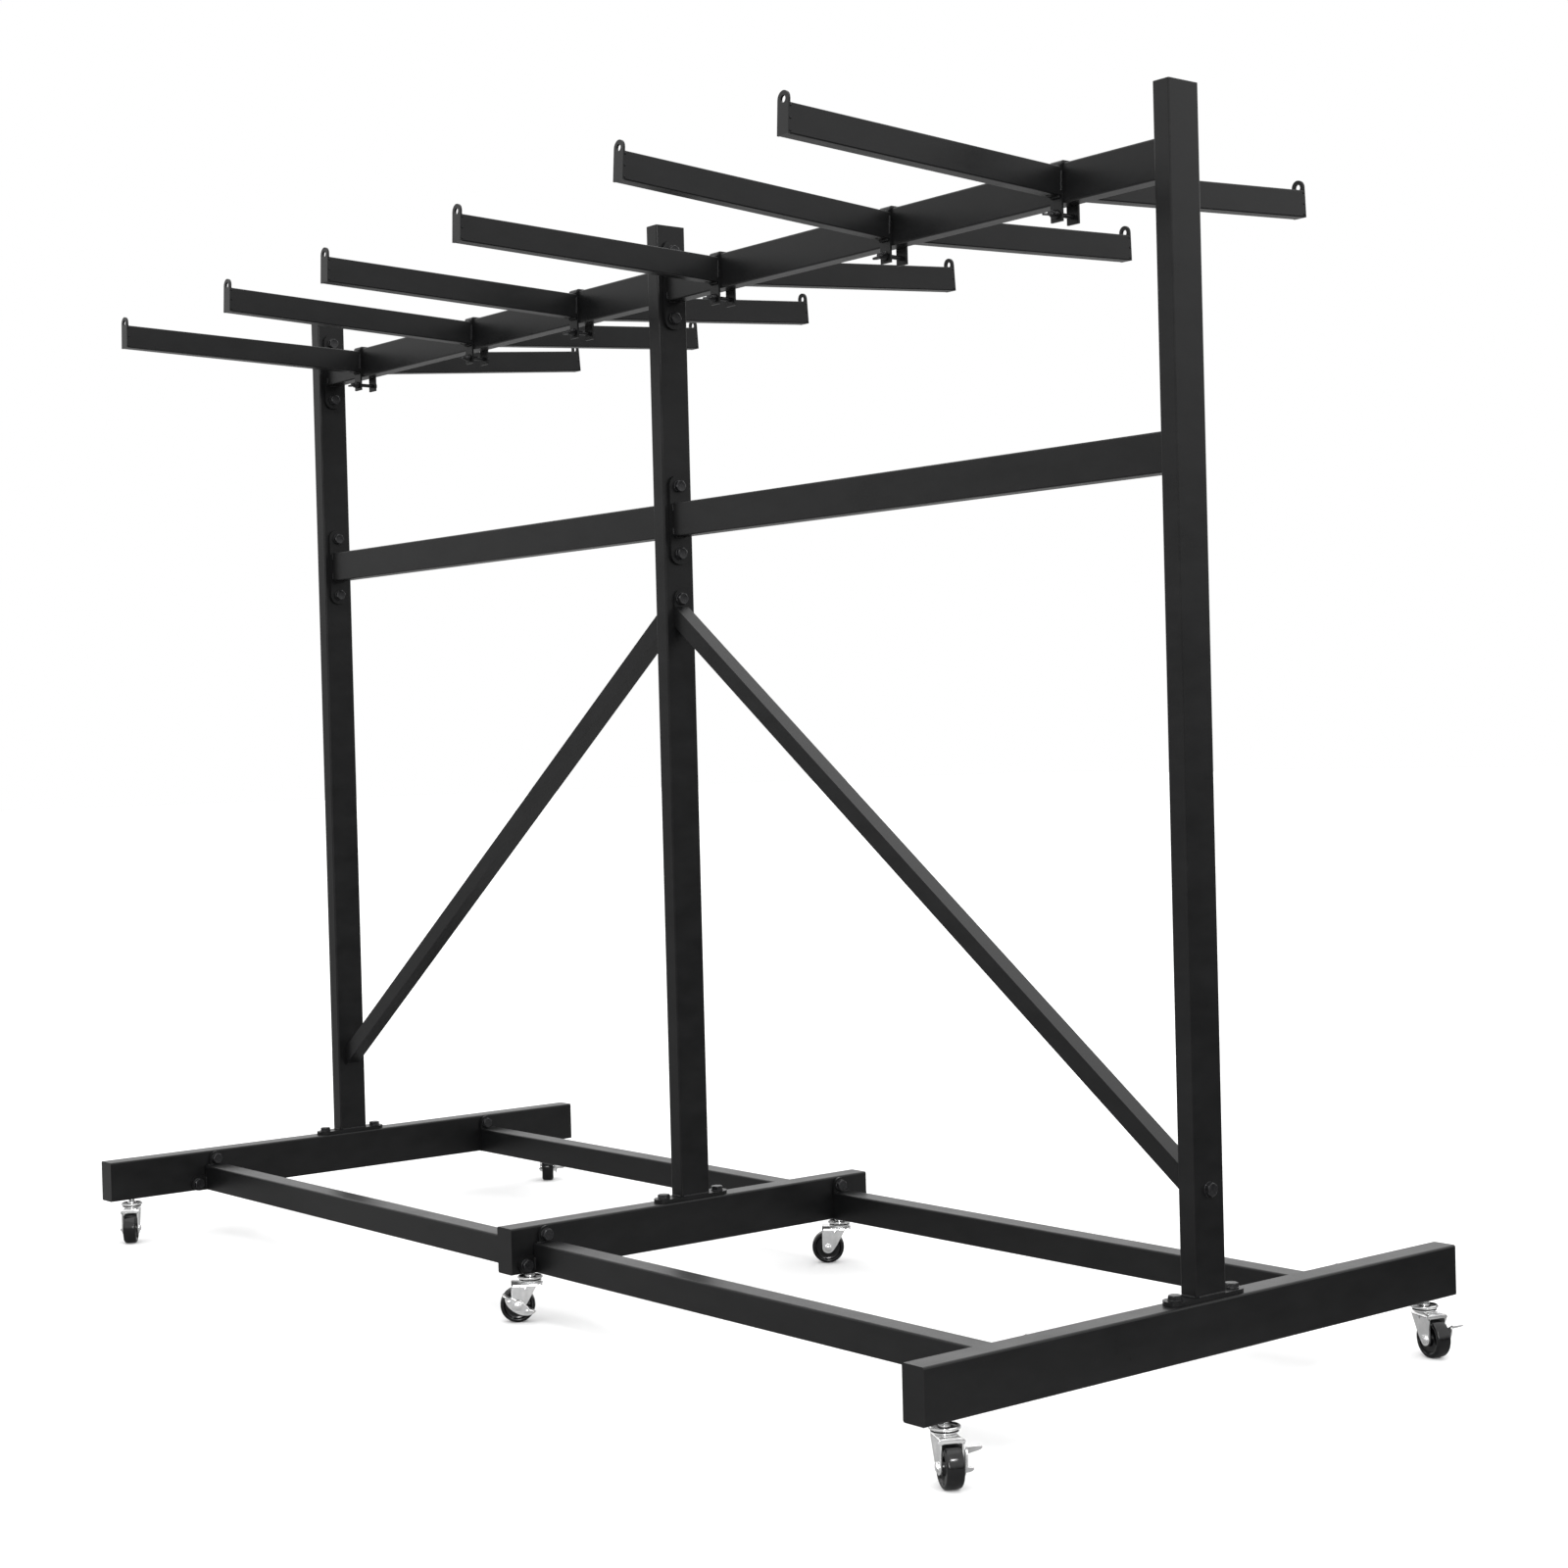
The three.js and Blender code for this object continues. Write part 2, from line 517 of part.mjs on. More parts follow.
const beam = beamBody();
const brace = braceBody();
const baseRails = { front: baseRailBody(-1), rear: baseRailBody(1) };
for (const [side, direction] of [['left', -1], ['right', 1]]) {
  const x = (direction * BAY) / 2;
  frame.add(place(piece(`top_beam_${side}`, beam, powderBlack), x, 0, BEAM.centre));
  frame.add(place(piece(`mid_rail_${side}`, beam, powderBlack), x, 0, MID_RAIL_CENTRE));
  const slanted = piece(`brace_${side}`, brace, powderBlack);
  slanted.rotation.z = direction > 0 ? 0 : Math.PI;
  frame.add(slanted);
  frame.add(place(piece(`base_rail_${side}_front`, baseRails.front, powderBlack), x, -BASE_RAIL.y, 0));
  frame.add(place(piece(`base_rail_${side}_rear`, baseRails.rear, powderBlack), x, BASE_RAIL.y, 0));
}

const clampBolt = clampBoltBody();
const wingNut = wingNutBody();
ARM_PAIRS.forEach((pair, index) => {
  const carrier = place(new THREE.Group(), pair.x, 0, BEAM.centre);
  const number = index + 1;
  carrier.add(piece(`arm_pair_${number}`, armPairBody(pair.roll), powderBlack));
  carrier.add(place(piece(`clamp_bolt_${number}`, clampBolt, powderBlack), 0, 0, CLAMP_Z));
  const nut = place(piece(`wing_nut_${number}`, wingNut, powderBlack), 0, -STRAP_OUTER - GAP, CLAMP_Z);
  nut.rotation.x = Math.PI / 2;
  carrier.add(nut);
  frame.add(carrier);
});

const stem = stemBody();
const wheel = wheelBody();
const brake = brakeBody();
const forks = { true: forkBody(true), false: forkBody(false) };
for (const caster of CASTERS) {
  rack.add(place(piece(`caster_stem_${caster.name}`, stem, brightZinc), caster.x, caster.y, 0));
  const swivel = place(new THREE.Group(), caster.x, caster.y, 0);
  swivel.rotation.z = THREE.MathUtils.degToRad(caster.trail);
  const braked = caster.lever > 0;
  swivel.add(piece(`caster_fork_${caster.name}`, forks[braked], brightZinc));
  const axle = place(new THREE.Group(), TRAIL, 0, WHEEL.radius);
  const roller = piece(`caster_wheel_${caster.name}`, wheel, tyreBlack);
  roller.rotation.x = Math.PI / 2;
  axle.add(roller);
  if (braked) {
    const lever = piece(`caster_brake_${caster.name}`, brake, brightZinc);
    lever.rotation.y = THREE.MathUtils.degToRad(-caster.lever);
    axle.add(lever);
  }
  swivel.add(axle);
  rack.add(swivel);
}

export default rack;
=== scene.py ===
"""Mobile saddle rack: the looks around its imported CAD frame. Metres, +Z up, +X along the rack."""

import json
import math

import bmesh
import bpy
from mathutils import Matrix, Vector


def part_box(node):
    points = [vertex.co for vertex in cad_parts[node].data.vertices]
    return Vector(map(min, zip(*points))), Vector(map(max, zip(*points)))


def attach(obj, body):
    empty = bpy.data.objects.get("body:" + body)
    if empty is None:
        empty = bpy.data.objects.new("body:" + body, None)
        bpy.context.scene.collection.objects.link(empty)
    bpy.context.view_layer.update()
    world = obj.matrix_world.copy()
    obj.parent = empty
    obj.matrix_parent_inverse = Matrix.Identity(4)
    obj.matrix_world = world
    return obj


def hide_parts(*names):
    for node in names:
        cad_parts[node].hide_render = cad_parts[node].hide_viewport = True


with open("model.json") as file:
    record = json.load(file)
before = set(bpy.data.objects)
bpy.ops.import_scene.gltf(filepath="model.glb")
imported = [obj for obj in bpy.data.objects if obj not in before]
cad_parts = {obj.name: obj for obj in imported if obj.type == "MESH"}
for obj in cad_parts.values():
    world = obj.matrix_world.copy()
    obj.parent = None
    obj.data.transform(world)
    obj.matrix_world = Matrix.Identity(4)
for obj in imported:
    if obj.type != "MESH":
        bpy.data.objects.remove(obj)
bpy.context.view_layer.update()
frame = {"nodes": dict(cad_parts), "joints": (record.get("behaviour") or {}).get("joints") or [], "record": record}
nodes = frame["nodes"]
record = frame["record"]
joints = {joint["name"]: joint for joint in frame["joints"]}
mounts = {mount["name"]: mount for mount in record["mounts"]}

MM = 0.001
SIDES = ("left", "right")
COLUMNS = ("left", "middle", "right")
ARM_PAIRS = range(1, 7)


def places_of(prefix):
    """The places, such as left_front, that have a node of this kind."""
    return [name.removeprefix(prefix) for name in sorted(nodes) if name.startswith(prefix)]


CASTERS = places_of("caster_wheel_")
BRAKED = places_of("caster_brake_")


# ---------------------------------------------------------------- camera, light and floor
CAMERA_PLACE = Vector((3.1216, -2.3436, 0.8157))
CAMERA_HEADING = math.radians(39.19)  # turned from -X towards +Y
CAMERA_PITCH = math.radians(-0.867)
CAMERA_ROLL = math.radians(-1.477)
CAMERA_LENS = 59.74  # on a 36 mm sensor

ROOM_LIGHT = 0.08  # the world's strength at the horizon and below
CEILING_LIGHT = 1.5  # and overhead
CEILING_FROM, CEILING_TO = -0.03, 0.26  # the sines of the heights where the change starts and ends
OVERHEAD_WATTS = 40
FRONT_WATTS = 50
SIDE_WATTS = 30

FLOOR_PAPER = 0.93  # how pale the floor is to the camera
FLOOR_BOUNCE = 0.25  # and to the light that it gives back
FLOOR_SHEEN = 0.32  # and in reflections
FLOOR_DARK = 0.05  # and in reflections of the floor past the right end of the rack
DARK_TOWARD = (0.87, 0.5, 0)  # that part of the floor lies this way from the origin
DARK_FROM, DARK_TO = 1.05, 1.55  # and its darkening starts and ends at these distances


def make_camera():
    """The camera that sees the rack as it stood, by its place, heading, pitch and roll."""
    ahead = Vector((
        -math.cos(CAMERA_HEADING) * math.cos(CAMERA_PITCH),
        math.sin(CAMERA_HEADING) * math.cos(CAMERA_PITCH),
        math.sin(CAMERA_PITCH),
    ))
    level = Vector((math.sin(CAMERA_HEADING), math.cos(CAMERA_HEADING), 0))
    up = level.cross(ahead)
    right = level * math.cos(CAMERA_ROLL) + up * math.sin(CAMERA_ROLL)
    above = up * math.cos(CAMERA_ROLL) - level * math.sin(CAMERA_ROLL)
    data = bpy.data.cameras.new("camera")
    data.lens = CAMERA_LENS
    data.sensor_width = 36
    data.clip_end = 100
    camera = bpy.data.objects.new("camera", data)
    turn = Matrix((right, above, -ahead)).transposed()
    camera.matrix_world = Matrix.Translation(CAMERA_PLACE) @ turn.to_4x4()
    bpy.context.collection.objects.link(camera)
    bpy.context.scene.camera = camera


def add_area_light(name, place, target, size, watts):
    """A rectangular light that faces its target."""
    data = bpy.data.lights.new(name, "AREA")
    data.shape = "RECTANGLE"
    data.size, data.size_y = size
    data.energy = watts
    light = bpy.data.objects.new(name, data)
    light.location = place
    light.rotation_euler = (Vector(target) - Vector(place)).to_track_quat("-Z", "Y").to_euler()
    bpy.context.collection.objects.link(light)


def make_world():
    """A studio: a bright ceiling over a dim horizon, and plain white for the camera to look at."""
    world = bpy.data.worlds.new("studio")
    bpy.context.scene.world = world
    world.use_nodes = True
    tree = world.node_tree
    tree.nodes.clear()
    where = tree.nodes.new("ShaderNodeTexCoord")
    split = tree.nodes.new("ShaderNodeSeparateXYZ")
    light = tree.nodes.new("ShaderNodeBackground")
    seen = tree.nodes.new("ShaderNodeBackground")
    path = tree.nodes.new("ShaderNodeLightPath")
    mix = tree.nodes.new("ShaderNodeMixShader")
    out = tree.nodes.new("ShaderNodeOutputWorld")
    light.inputs["Color"].default_value = (1, 1, 1, 1)
    seen.inputs["Color"].default_value = (1, 1, 1, 1)
    tree.links.new(where.outputs["Generated"], split.inputs[0])
    strength = spread(tree, split.outputs["Z"], ROOM_LIGHT, CEILING_LIGHT, CEILING_FROM, CEILING_TO)
    tree.links.new(strength, light.inputs["Strength"])
    tree.links.new(path.outputs["Is Camera Ray"], mix.inputs[0])
    tree.links.new(light.outputs[0], mix.inputs[1])
    tree.links.new(seen.outputs[0], mix.inputs[2])
    tree.links.new(mix.outputs[0], out.inputs[0])


def floor_paper():
    """Pale paper to the camera, darker in reflections, and darkest there past the rack's right end."""
    material, tree, shader = principled("floor_paper", (FLOOR_PAPER,) * 3, 0.9)
    shader.inputs["Specular IOR Level"].default_value = 0.1
    path = tree.nodes.new("ShaderNodeLightPath")
    where = tree.nodes.new("ShaderNodeTexCoord")
    distance = tree.nodes.new("ShaderNodeVectorMath")
    distance.operation = "DOT_PRODUCT"
    distance.inputs[1].default_value = DARK_TOWARD
    tree.links.new(where.outputs["Object"], distance.inputs[0])
    sheen = spread(tree, distance.outputs["Value"], FLOOR_SHEEN, FLOOR_DARK, DARK_FROM, DARK_TO)
    reflected = combined(tree, "MULTIPLY", path.outputs["Is Glossy Ray"], sheen)
    bounced = spread(tree, path.outputs["Is Glossy Ray"], FLOOR_BOUNCE, 0, 0, 1)
    seen = spread(tree, path.outputs["Is Camera Ray"], 0, FLOOR_PAPER, 0, 1)
    paleness = combined(tree, "MAXIMUM", combined(tree, "MAXIMUM", reflected, bounced), seen)
    tree.links.new(paleness, shader.inputs["Base Color"])
    return material


def make_stage():
    """The world, the lights and the floor."""
    bpy.context.scene.view_settings.view_transform = "Standard"
    make_world()
    add_area_light("overhead", (0.0, -0.4, 4.0), (0, 0, 0), (5.0, 3.6), OVERHEAD_WATTS)
    beside_camera = CAMERA_PLACE + Vector((0.5, -0.5, 0.45))
    add_area_light("front_box", beside_camera, (0.3, 0, 0.8), (0.35, 1.4), FRONT_WATTS)
    right_casters = (1.0, -0.4, 0.05)
    add_area_light("side_box", (3.95, -0.92, 2.70), right_casters, (0.42, 0.34), SIDE_WATTS)
    bpy.ops.mesh.primitive_grid_add(x_subdivisions=4, y_subdivisions=4, size=80)
    floor = bpy.context.object
    floor.name = "floor"
    floor.data.materials.append(floor_paper())


# ---------------------------------------------------------------- materials
def principled(name, color, roughness, metallic=0.0):
    """A new material with its node tree and its shader."""
    material = bpy.data.materials.new(name)
    material.use_nodes = True
    tree = material.node_tree
    shader = tree.nodes["Principled BSDF"]
    shader.inputs["Base Color"].default_value = (*color, 1)
    shader.inputs["Roughness"].default_value = roughness
    shader.inputs["Metallic"].default_value = metallic
    return material, tree, shader


def noise(tree, scale, detail=3.0, roughness=0.5, stretch=(1, 1, 1)):
    """The factor of a noise texture in the piece's own metres; scale is in cells per metre."""
    where = tree.nodes.new("ShaderNodeTexCoord")
    mapping = tree.nodes.new("ShaderNodeMapping")
    mapping.inputs["Scale"].default_value = stretch
    texture = tree.nodes.new("ShaderNodeTexNoise")
    texture.inputs["Scale"].default_value = scale
    texture.inputs["Detail"].default_value = detail
    texture.inputs["Roughness"].default_value = roughness
    tree.links.new(where.outputs["Object"], mapping.inputs["Vector"])
    tree.links.new(mapping.outputs["Vector"], texture.inputs["Vector"])
    return texture.outputs["Fac"]


def spread(tree, value, low, high, start=0.3, end=0.7):
    """A number from low to high as value goes from start to end."""
    node = tree.nodes.new("ShaderNodeMapRange")
    node.inputs["From Min"].default_value = start
    node.inputs["From Max"].default_value = end
    node.inputs["To Min"].default_value = low
    node.inputs["To Max"].default_value = high
    tree.links.new(value, node.inputs["Value"])
    return node.outputs["Result"]


def banded(tree, value, middle, half):
    """1 where a value in metres lies within half of the middle, else 0."""
    node = tree.nodes.new("ShaderNodeMath")
    node.operation = "COMPARE"
    node.inputs[1].default_value = middle
    node.inputs[2].default_value = half
    tree.links.new(value, node.inputs[0])
    return node.outputs[0]


def combined(tree, operation, first, second):
    """Two numbers put together by a math operation."""
    node = tree.nodes.new("ShaderNodeMath")
    node.operation = operation
    tree.links.new(first, node.inputs[0])
    tree.links.new(second, node.inputs[1])
    return node.outputs[0]


def tint(tree, value, dark, pale, start=0.35, end=0.65):
    """A colour from dark to pale as value goes from start to end."""
    ramp = tree.nodes.new("ShaderNodeValToRGB")
    ramp.color_ramp.elements[0].position = start
    ramp.color_ramp.elements[0].color = (*dark, 1)
    ramp.color_ramp.elements[1].position = end
    ramp.color_ramp.elements[1].color = (*pale, 1)
    tree.links.new(value, ramp.inputs[0])
    return ramp.outputs["Color"]


def bump(tree, shader, heights):
    """Chains (value, depth in metres, strength) into the shader's normal."""
    previous = None
    for value, depth, strength in heights:
        node = tree.nodes.new("ShaderNodeBump")
        node.inputs["Distance"].default_value = depth
        node.inputs["Strength"].default_value = strength
        tree.links.new(value, node.inputs["Height"])
        if previous:
            tree.links.new(previous, node.inputs["Normal"])
        previous = node.outputs["Normal"]
    tree.links.new(previous, shader.inputs["Normal"])


def powder_coat():
    """Satin black powder coat: a fine grain over a slight orange peel, with faint handling marks."""
    material, tree, shader = principled("powder_black", (0.007, 0.007, 0.0073), 0.4)
    grain = noise(tree, 2600, 2.0)
    peel = noise(tree, 420, 2.0)
    marks = noise(tree, 14, 4.0, 0.62, (1, 1, 2.2))
    speck = noise(tree, 900, 1.0)
    color = tint(tree, marks, (0.0040, 0.0041, 0.0043), (0.0070, 0.0071, 0.0074), 0.3, 0.7)
    tree.links.new(color, shader.inputs["Base Color"])
    rough = combined(tree, "ADD", spread(tree, marks, 0.27, 0.34), spread(tree, speck, 0.0, 0.08))
    tree.links.new(rough, shader.inputs["Roughness"])
    shader.inputs["Specular IOR Level"].default_value = 0.25
    bump(tree, shader, [(peel, 0.00010, 0.35), (grain, 0.00004, 0.5)])
    return material


def black_oxide():
    """Black fasteners: darker and a little glossier than the frame, with worn paler flecks."""
    material, tree, shader = principled("black_fastener", (0.012, 0.012, 0.013), 0.34, 0.35)
    fleck = noise(tree, 700, 4.0, 0.7)
    color = tint(tree, fleck, (0.010, 0.010, 0.011), (0.050, 0.050, 0.052), 0.48, 0.78)
    tree.links.new(color, shader.inputs["Base Color"])
    tree.links.new(spread(tree, noise(tree, 260), 0.26, 0.42), shader.inputs["Roughness"])
    bump(tree, shader, [(noise(tree, 1800, 2.0), 0.00005, 0.5)])
    return material


def weld_paint():
    """Powder coat over a weld bead: the same black, smoother and pooled between the ripples."""
    material, tree, shader = principled("weld_black", (0.018, 0.018, 0.019), 0.38)
    pool = noise(tree, 300, 3.0)
    color = tint(tree, pool, (0.0045, 0.0045, 0.005), (0.0100, 0.0100, 0.0105))
    tree.links.new(color, shader.inputs["Base Color"])
    tree.links.new(spread(tree, pool, 0.38, 0.55), shader.inputs["Roughness"])
    shader.inputs["Specular IOR Level"].default_value = 0.2
    bump(tree, shader, [(noise(tree, 900, 3.0), 0.00015, 0.6)])
    return material


def caster_painted_shade(tree):
    """1 in the groove over the ball race and in the dish of the stem's cup: the mask of painted shade for these
    recesses.
    """
    where = tree.nodes.new("ShaderNodeTexCoord")
    split = tree.nodes.new("ShaderNodeSeparateXYZ")
    flat = tree.nodes.new("ShaderNodeVectorMath")
    flat.operation = "MULTIPLY"
    flat.inputs[1].default_value = (1, 1, 0)
    away = tree.nodes.new("ShaderNodeVectorMath")
    away.operation = "LENGTH"
    tree.links.new(where.outputs["Object"], split.inputs[0])
    tree.links.new(where.outputs["Object"], flat.inputs[0])
    tree.links.new(flat.outputs[0], away.inputs[0])
    height = split.outputs["Z"]
    groove = banded(tree, height, 60.55 * MM, 0.9 * MM)
    dish = combined(
        tree, "MULTIPLY",
        banded(tree, height, 64.3 * MM, 0.9 * MM),
        banded(tree, away.outputs["Value"], 12 * MM, 4.4 * MM),
    )
    return combined(tree, "MAXIMUM", groove, dish)


def zinc_plate():
    """Bright zinc on stamped sheet: soft cloudy variation, fine die scratches, and painted shade in the caster's
    recesses.
    """
    material, tree, shader = principled("bright_zinc", (0.88, 0.88, 0.88), 0.24, 0.85)
    cloud = noise(tree, 110, 4.0, 0.6)
    scratch = noise(tree, 700, 2.0, 0.5, (1, 1, 0.08))
    plating = tint(tree, cloud, (0.80, 0.805, 0.81), (0.93, 0.93, 0.925))
    darkened = tree.nodes.new("ShaderNodeVectorMath")
    darkened.operation = "SCALE"
    tree.links.new(plating, darkened.inputs[0])
    # painted shade: the groove and the cup's dish are darkened nearly to black and lose their metal and shine
    painted_shade = caster_painted_shade(tree)
    tree.links.new(spread(tree, painted_shade, 1.0, 0.03, 0, 1), darkened.inputs["Scale"])
    tree.links.new(spread(tree, painted_shade, 0.85, 0.0, 0, 1), shader.inputs["Metallic"])
    tree.links.new(spread(tree, painted_shade, 0.5, 0.12, 0, 1), shader.inputs["Specular IOR Level"])
    tree.links.new(darkened.outputs[0], shader.inputs["Base Color"])
    rough = combined(tree, "ADD", spread(tree, cloud, 0.08, 0.15), spread(tree, scratch, 0.0, 0.09))
    tree.links.new(rough, shader.inputs["Roughness"])
    bump(tree, shader, [(cloud, 0.00010, 0.2), (scratch, 0.00002, 0.4)])
    return material


def wheel_black():
    """A hard glossy moulded wheel: faint dust and scuffs on the tread."""
    material, tree, shader = principled("tyre_black", (0.004, 0.004, 0.0045), 0.16)
    dust = noise(tree, 160, 5.0, 0.65)
    color = tint(tree, dust, (0.003, 0.003, 0.0034), (0.012, 0.012, 0.0125), 0.52, 0.84)
    tree.links.new(color, shader.inputs["Base Color"])
    tree.links.new(spread(tree, dust, 0.09, 0.20), shader.inputs["Roughness"])
    shader.inputs["Specular IOR Level"].default_value = 0.4
    bump(tree, shader, [(noise(tree, 320, 2.0), 0.00004, 0.3)])
    return material


# ---------------------------------------------------------------- mesh tools
def finish_mesh(mesh, sharp_degrees):
    """Smooth shading, but for edges sharper than an angle."""
    mesh.shade_smooth()
    mesh.set_sharp_from_angle(angle=math.radians(sharp_degrees))


def mesh_from(name, builder, sharp_degrees=35):
    """A mesh whose faces point out, built by a function that fills a bmesh."""
    bm = bmesh.new()
    builder(bm)
    bmesh.ops.remove_doubles(bm, verts=bm.verts, dist=1e-6)
    bmesh.ops.recalc_face_normals(bm, faces=bm.faces)
    mesh = bpy.data.meshes.new(name)
    bm.to_mesh(mesh)
    bm.free()
    finish_mesh(mesh, sharp_degrees)
    return mesh


def add_piece(name, mesh, place, body, material, stands_for=()):
    """Adds an object that shows a mesh at a place and rides on a body. Copies share the mesh."""
    if not mesh.materials:
        mesh.materials.append(material)
    piece = bpy.data.objects.new(name, mesh)
    piece.matrix_world = place
    bpy.context.collection.objects.link(piece)
    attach(piece, body)
    if stands_for:
        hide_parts(*stands_for)
    return piece


def soften(piece, width, segments=2, limit_degrees=40):
    """Rounds a piece's sharp edges, and keeps its flats flat."""
    rounding = piece.modifiers.new("rounding", "BEVEL")
    rounding.width = width
    rounding.segments = segments
    rounding.limit_method = "ANGLE"
    rounding.angle_limit = math.radians(limit_degrees)
    rounding.harden_normals = False
    weighting = piece.modifiers.new("weighting", "WEIGHTED_NORMAL")
    weighting.keep_sharp = True


def loft(bm, rings, close_ends=True, closed_rings=True):
    """Joins rings of points with quads, and caps the first and last ring."""
    made = [[bm.verts.new(point) for point in ring] for ring in rings]
    count = len(made[0])
    steps = count if closed_rings else count - 1
    for lower, upper in zip(made, made[1:]):
        for i in range(steps):
            j = (i + 1) % count
            bm.faces.new((lower[i], lower[j], upper[j], upper[i]))
    if close_ends:
        bm.faces.new(made[0][::-1])
        bm.faces.new(made[-1])
    return made


def turned(profile, sides=48):
    """A builder for a shape turned about Z from (radius, height) points that run axis to axis."""
    def build(bm):
        rings = []
        for radius, height in profile:
            ring = []
            for i in range(sides):
                angle = 2 * math.pi * i / sides
                ring.append((radius * math.cos(angle), radius * math.sin(angle), height))
            rings.append(ring)
        loft(bm, rings)
    return build


def turned_ring(profile, sides=64):
    """A builder for a shape turned about Z from a closed outline that stays off the axis."""
    def build(bm):
        rings = []
        for i in range(sides):
            angle = 2 * math.pi * i / sides
            rings.append([
                bm.verts.new((radius * math.cos(angle), radius * math.sin(angle), height))
                for radius, height in profile
            ])
        count = len(profile)
        for i in range(sides):
            here, there = rings[i], rings[(i + 1) % sides]
            for j in range(count):
                k = (j + 1) % count
                bm.faces.new((here[j], here[k], there[k], there[j]))
    return build


def arc(center, radius, start, end, steps):
    """Points on an arc, in degrees."""
    points = []
    for i in range(steps + 1):
        angle = math.radians(start + (end - start) * i / steps)
        points.append((center[0] + radius * math.cos(angle), center[1] + radius * math.sin(angle)))
    return points


def plate(outline, low, high, round_by=0.0003, segments=2):
    """A builder for a plate drawn in X and Y, from one height to another, with rounded edges."""
    def build(bm):
        bottom = [bm.verts.new((x, y, low)) for x, y in outline]
        top = [bm.verts.new((x, y, high)) for x, y in outline]
        count = len(outline)
        for i in range(count):
            j = (i + 1) % count
            bm.faces.new((bottom[i], bottom[j], top[j], top[i]))
        lids = [bm.faces.new(bottom[::-1]), bm.faces.new(top)]
        rim = [edge for lid in lids for edge in lid.edges]
        if round_by:
            bmesh.ops.bevel(
                bm, geom=rim, offset=round_by, segments=segments, profile=0.5, affect="EDGES",
            )
    return build


def together(*builders):
    """A builder that fills one mesh with several shapes."""
    def build(bm):
        for builder in builders:
            builder(bm)
    return build


def shifted(builder, matrix):
    """A builder whose shape is moved by a matrix."""
    def build(bm):
        part = bmesh.new()
        builder(part)
        part.transform(matrix)
        scrap = bpy.data.meshes.new("scrap")
        part.to_mesh(scrap)
        part.free()
        bm.from_mesh(scrap)
        bpy.data.meshes.remove(scrap)
    return build


AXIS_TURNS = {
    "+x": Matrix.Rotation(math.pi / 2, 4, "Y"),
    "-x": Matrix.Rotation(-math.pi / 2, 4, "Y"),
    "+y": Matrix.Rotation(-math.pi / 2, 4, "X"),
    "-y": Matrix.Rotation(math.pi / 2, 4, "X"),
    "+z": Matrix.Identity(4),
}


def facing(place, direction):
    """A place whose +Z points along a row axis."""
    return Matrix.Translation(place) @ AXIS_TURNS[direction]


# ---------------------------------------------------------------- hexagon bolts
def hexagon_head(flats, height, chamfer=0.93, steps=8):
    """A builder for a hexagon head on Z = 0, with the chamfer that a turned hexagon has."""
    def build(bm):
        inner = flats / 2 * chamfer
        count = 6 * steps
        lower, upper, rim, dish = [], [], [], []
        for i in range(count):
            angle = 2 * math.pi * i / count
            within = (angle % (math.pi / 3)) - math.pi / 6
            radius = flats / 2 / math.cos(within)
            drop = max(0.0, radius - inner) * math.tan(math.radians(30))
            toward = Vector((math.cos(angle), math.sin(angle), 0))
            lower.append(toward * radius)
            upper.append(toward * radius + Vector((0, 0, height - drop)))
            rim.append(toward * inner + Vector((0, 0, height)))
            dish.append(toward * inner * 0.82 + Vector((0, 0, height - 0.25 * MM)))
        loft(bm, [lower, upper, rim, dish])
    return build


BOLT_FLATS = 16 * MM
BOLT_HEIGHT = 6.4 * MM
WASHER = 1.1 * MM
WASHER_RADIUS = 9.3 * MM

END_PLATE = 4 * MM  # the bolting plates on the ends of beams and rails
END_BOLT_INSET = 16 * MM  # from a beam's plate's top or bottom to its bolt
FOOT_PLATE_TOP = 5.3 * MM  # above the foot: the upright's plate and the gap under it
FOOT_BOLT_INSET = 15 * MM
BRACE_PLATE = 3 * MM
BRACE_TAB_BOLT = 14 * MM  # below the top of the brace
BRACE_FOOT_BOLT = 10.5 * MM  # above its foot
UPRIGHT_PLATE_MARGIN = 2 * MM  # how far the upright's foot plate stands out past its tube
RAIL_TAB_REACH = 26.5 * MM  # a base rail's lower tab, out past the tube
RAIL_TAB_INSET = 4 * MM
RAIL_TAB_HALF = 12.5 * MM
RAIL_WIDTH = 34 * MM
RAIL_HEIGHT = 42 * MM


def bolt_head_mesh():
    """A hexagon head on a flat washer, seated at Z = 0."""
    face = [
        (0.01 * MM, 0),
        (WASHER_RADIUS - 0.2 * MM, 0),
        (WASHER_RADIUS, 0.25 * MM),
        (WASHER_RADIUS, WASHER - 0.3 * MM),
        (WASHER_RADIUS - 0.35 * MM, WASHER),
        (0.01 * MM, WASHER),
    ]
    sunk = WASHER * 0.5
    head = shifted(hexagon_head(BOLT_FLATS, BOLT_HEIGHT - sunk), Matrix.Translation((0, 0, sunk)))
    return mesh_from("bolt_head", together(turned(face, 40), head), 28)


def ends_of(low, high, inset):
    """The two ends of a piece along X: a name, where the face is, which way it faces, and inwards."""
    return (("left", low.x + inset, "+x", 1), ("right", high.x - inset, "-x", -1))


